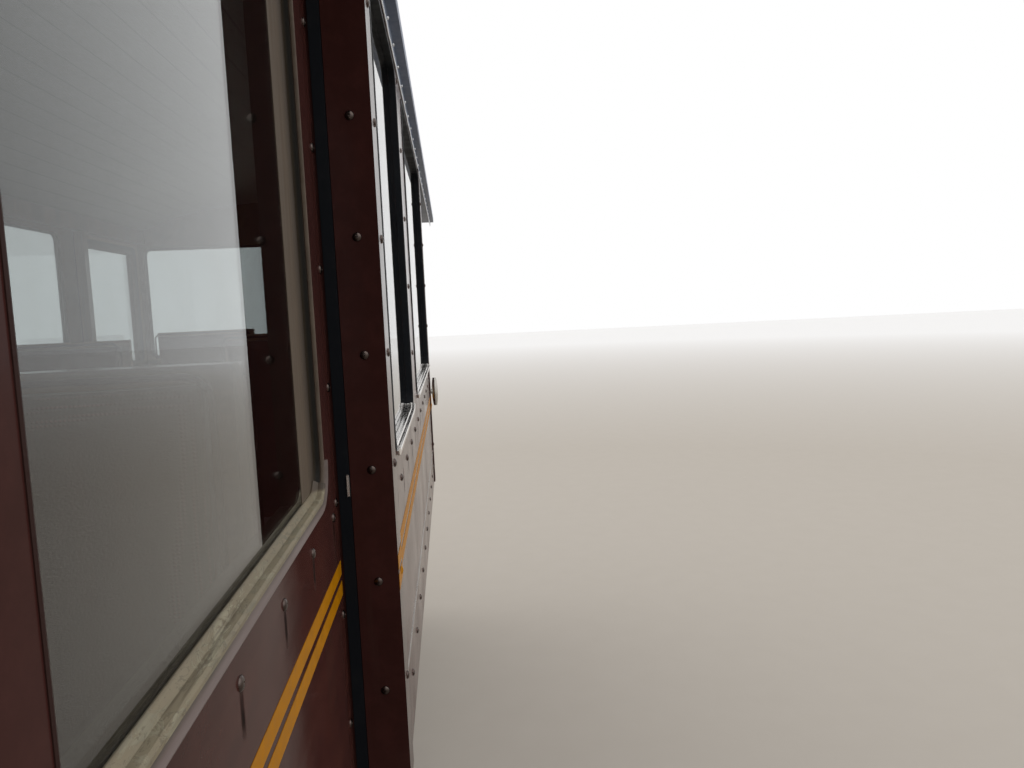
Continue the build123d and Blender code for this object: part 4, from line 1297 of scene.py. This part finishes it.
def puffed(spans, cap):
    """Pad that has been blown up by a short cloth simulation from a slightly smaller block."""
    shape = Shape()
    shape.box(*[(low + PAD_INSET, high - PAD_INSET) for low, high in spans])
    pad = placed("pad", plain_mesh("pad", shape.points, shape.faces))
    remesh = pad.modifiers.new("remesh", "REMESH")
    remesh.mode = "VOXEL"
    remesh.voxel_size = PAD_VOXEL
    pad.data = applied(pad)
    rest = [vertex.co.copy() for vertex in pad.data.vertices]
    cloth = pad.modifiers.new("cloth", "CLOTH").settings
    cloth.use_pressure = True
    cloth.uniform_pressure_force = 4.0
    cloth.effector_weights.gravity = 0.0
    cloth.quality = 5
    for step in range(1, 21):
        bpy.context.scene.frame_set(step)
    pad.data = applied(pad)
    bpy.context.scene.frame_set(1)
    crown = (0.0, 0.0, cap / 2)
    for vertex, start in zip(pad.data.vertices, rest):
        move = vertex.co - start
        if move.length > cap:
            vertex.co = start + move.normalized() * cap
        for axis, (low, high) in enumerate(spans):
            vertex.co[axis] = min(max(vertex.co[axis], low), high + crown[axis])
    points = [vertex.co.copy() for vertex in pad.data.vertices]
    faces = [tuple(polygon.vertices) for polygon in pad.data.polygons]
    bpy.data.objects.remove(pad)
    return points, faces


def seat_places():
    """Side, place of the back board, and way that the sitter faces, for every seat."""
    rows = [(min(x + BAY, HALF - WALL), -1) for x in BAYS]
    for x in PROUDS:
        rows += [(x, 1), (x + PROUD, -1)]
    return [(side, x, way) for side in SIDES for x, way in rows]


class COACH_OT_seats(bpy.types.Operator):
    """Upholster the seats with blown-up pads and piping"""

    bl_idname = "coach.seats"
    bl_label = "Seats"

    def execute(self, context):
        low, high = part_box("seat_cushions")
        back_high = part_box("seat_backs")[1].z
        y_span = (high.y - SEAT_WIDTH, high.y)
        pads = (
            ("cushions", puffed((SEAT_PAD, y_span, (low.z, high.z)), SEAT_CROWN)),
            ("backs", puffed((BACK_PAD, y_span, (low.z, back_high)), BACK_CROWN)),
        )
        for label, (points, faces) in pads:
            shape = Shape()
            for side, x, way in seat_places():
                turned = faces if way * side > 0 else [tuple(reversed(face)) for face in faces]
                shape.add([(x + way * p.x, side * p.y, p.z) for p in points], turned)
            piece = shape.piece(f"seat_{label}_cloth", "cloth", "root", "seat_cloth", 60)
            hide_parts(f"seat_{label}")
        cord = Shape()
        for side, x, way in seat_places():
            across = sorted((side * (y_span[0] + 0.005), side * (y_span[1] - 0.005)))
            along = sorted((x + way * 0.068, x + way * 0.411))
            upward = (high.z + 0.02, back_high - 0.006)
            flat = [(a, b, high.z - 0.010) for a, b in rounded(along, across, PIPING_CORNER, steps=4)]
            upright = [(x + way * 0.0595, a, b) for a, b in rounded(across, upward, PIPING_CORNER, steps=4)]
            for ring in (flat, upright):
                cord.tube(ring, PIPING, 6, ring=True)
        cord.piece("seat_piping", "piping", "root", "seat_cloth")
        return {"FINISHED"}


class COACH_OT_stage(bpy.types.Operator):
    """Set up the floor, the soft lamps, the pale surroundings and the camera"""

    bl_idname = "coach.stage"
    bl_label = "Stage"

    def execute(self, context):
        scene = context.scene
        scene.view_settings.view_transform = "Standard"
        corners = [(40.0 * x, 40.0 * y, 0.0) for x, y in ((-1, -1), (1, -1), (1, 1), (-1, 1))]
        mesh = plain_mesh("studio_floor", corners, [(0, 1, 2, 3)])
        mesh.materials.append(studio_floor())
        placed("studio_floor", mesh)
        pale_world(scene)
        soft_sun("key", (-3.5, -4.5, 6.5), 70.0, 1.0)
        soft_sun("far_side", (3.0, 6.0, 5.0), 80.0, 0.75)
        photo_camera(scene)
        return {"FINISHED"}


def pale_world(scene):
    """White where it is seen, mirrored or looked through to, and a plain level of light elsewhere."""
    world = bpy.data.worlds.new("pale")
    scene.world = world
    world.use_nodes = True
    tree = world.node_tree
    background = tree.nodes["Background"]
    path = tree.nodes.new("ShaderNodeLightPath")
    seen = path.outputs["Is Camera Ray"]
    for name in ("Is Glossy Ray", "Is Transmission Ray"):
        most = tree.nodes.new("ShaderNodeMath")
        most.operation = "MAXIMUM"
        tree.links.new(seen, most.inputs[0])
        tree.links.new(path.outputs[name], most.inputs[1])
        seen = most.outputs[0]
    level = tree.nodes.new("ShaderNodeMapRange")
    level.inputs["To Min"].default_value = 0.6
    level.inputs["To Max"].default_value = 1.0
    tree.links.new(seen, level.inputs["Value"])
    tree.links.new(level.outputs["Result"], background.inputs["Strength"])
    background.inputs["Color"].default_value = (1, 1, 1, 1)


def soft_sun(name, place, spread, strength):
    """Wide soft light that falls evenly from one direction."""
    lamp = bpy.data.lights.new(name, "SUN")
    lamp.angle = math.radians(spread)
    lamp.energy = strength
    holder = placed(name, lamp)
    holder.location = place
    holder.rotation_euler = (-Vector(place)).to_track_quat("-Z", "Y").to_euler()


def photo_camera(scene):
    """Camera just outside the middle door of the right side, looking forward along the coach."""
    ahead = Vector((MEETING[0] - WIDTH / 2, HEIGHT / 2 - MEETING[1], -FOCAL)).normalized()
    lean = Vector(UPRIGHT)
    up = (lean - lean.dot(ahead) * ahead).normalized()
    left = up.cross(ahead)
    camera = bpy.data.cameras.new("photo_camera")
    camera.sensor_width = 36.0
    camera.lens = FOCAL / WIDTH * 36.0
    camera.clip_start = 0.01
    camera.clip_end = 200.0
    scene.camera = placed("photo_camera", camera)
    scene.camera.matrix_world = Matrix.Translation(EYE) @ Matrix((ahead, left, up)).to_4x4()


class COACH_PT_panel(bpy.types.Panel):
    """Lists the coach's pieces and their sizes"""

    bl_idname = "COACH_PT_panel"
    bl_label = "Coach"
    bl_space_type = "VIEW_3D"
    bl_region_type = "UI"
    bl_category = "Coach"

    def draw(self, context):
        for group in (context.scene.coach_sizes, context.scene.coach_colours):
            for name in group.bl_rna.properties.keys():
                if name not in {"rna_type", "name"}:
                    self.layout.prop(group, name)
        for operator in OPERATORS:
            self.layout.operator(operator.bl_idname)


OPERATORS = (
    COACH_OT_finishes,
    COACH_OT_lining,
    COACH_OT_rubber,
    COACH_OT_panes,
    COACH_OT_rails,
    COACH_OT_beads,
    COACH_OT_sashes,
    COACH_OT_fasteners,
    COACH_OT_roof,
    COACH_OT_seats,
    COACH_OT_stage,
)
CLASSES = (CoachSizes, CoachColours, *OPERATORS, COACH_PT_panel)


def register():
    for item in CLASSES:
        bpy.utils.register_class(item)
    bpy.types.Scene.coach_sizes = bpy.props.PointerProperty(type=CoachSizes)
    bpy.types.Scene.coach_colours = bpy.props.PointerProperty(type=CoachColours)


def unregister():
    del bpy.types.Scene.coach_colours
    del bpy.types.Scene.coach_sizes
    for item in reversed(CLASSES):
        bpy.utils.unregister_class(item)


def main():
    register()
    bpy.ops.coach.finishes()
    bpy.ops.coach.lining()
    bpy.ops.coach.rubber()
    bpy.ops.coach.panes()
    bpy.ops.coach.rails()
    bpy.ops.coach.beads()
    bpy.ops.coach.sashes()
    bpy.ops.coach.fasteners()
    bpy.ops.coach.roof()
    bpy.ops.coach.seats()
    bpy.ops.coach.stage()


if __name__ == "__main__":
    main()
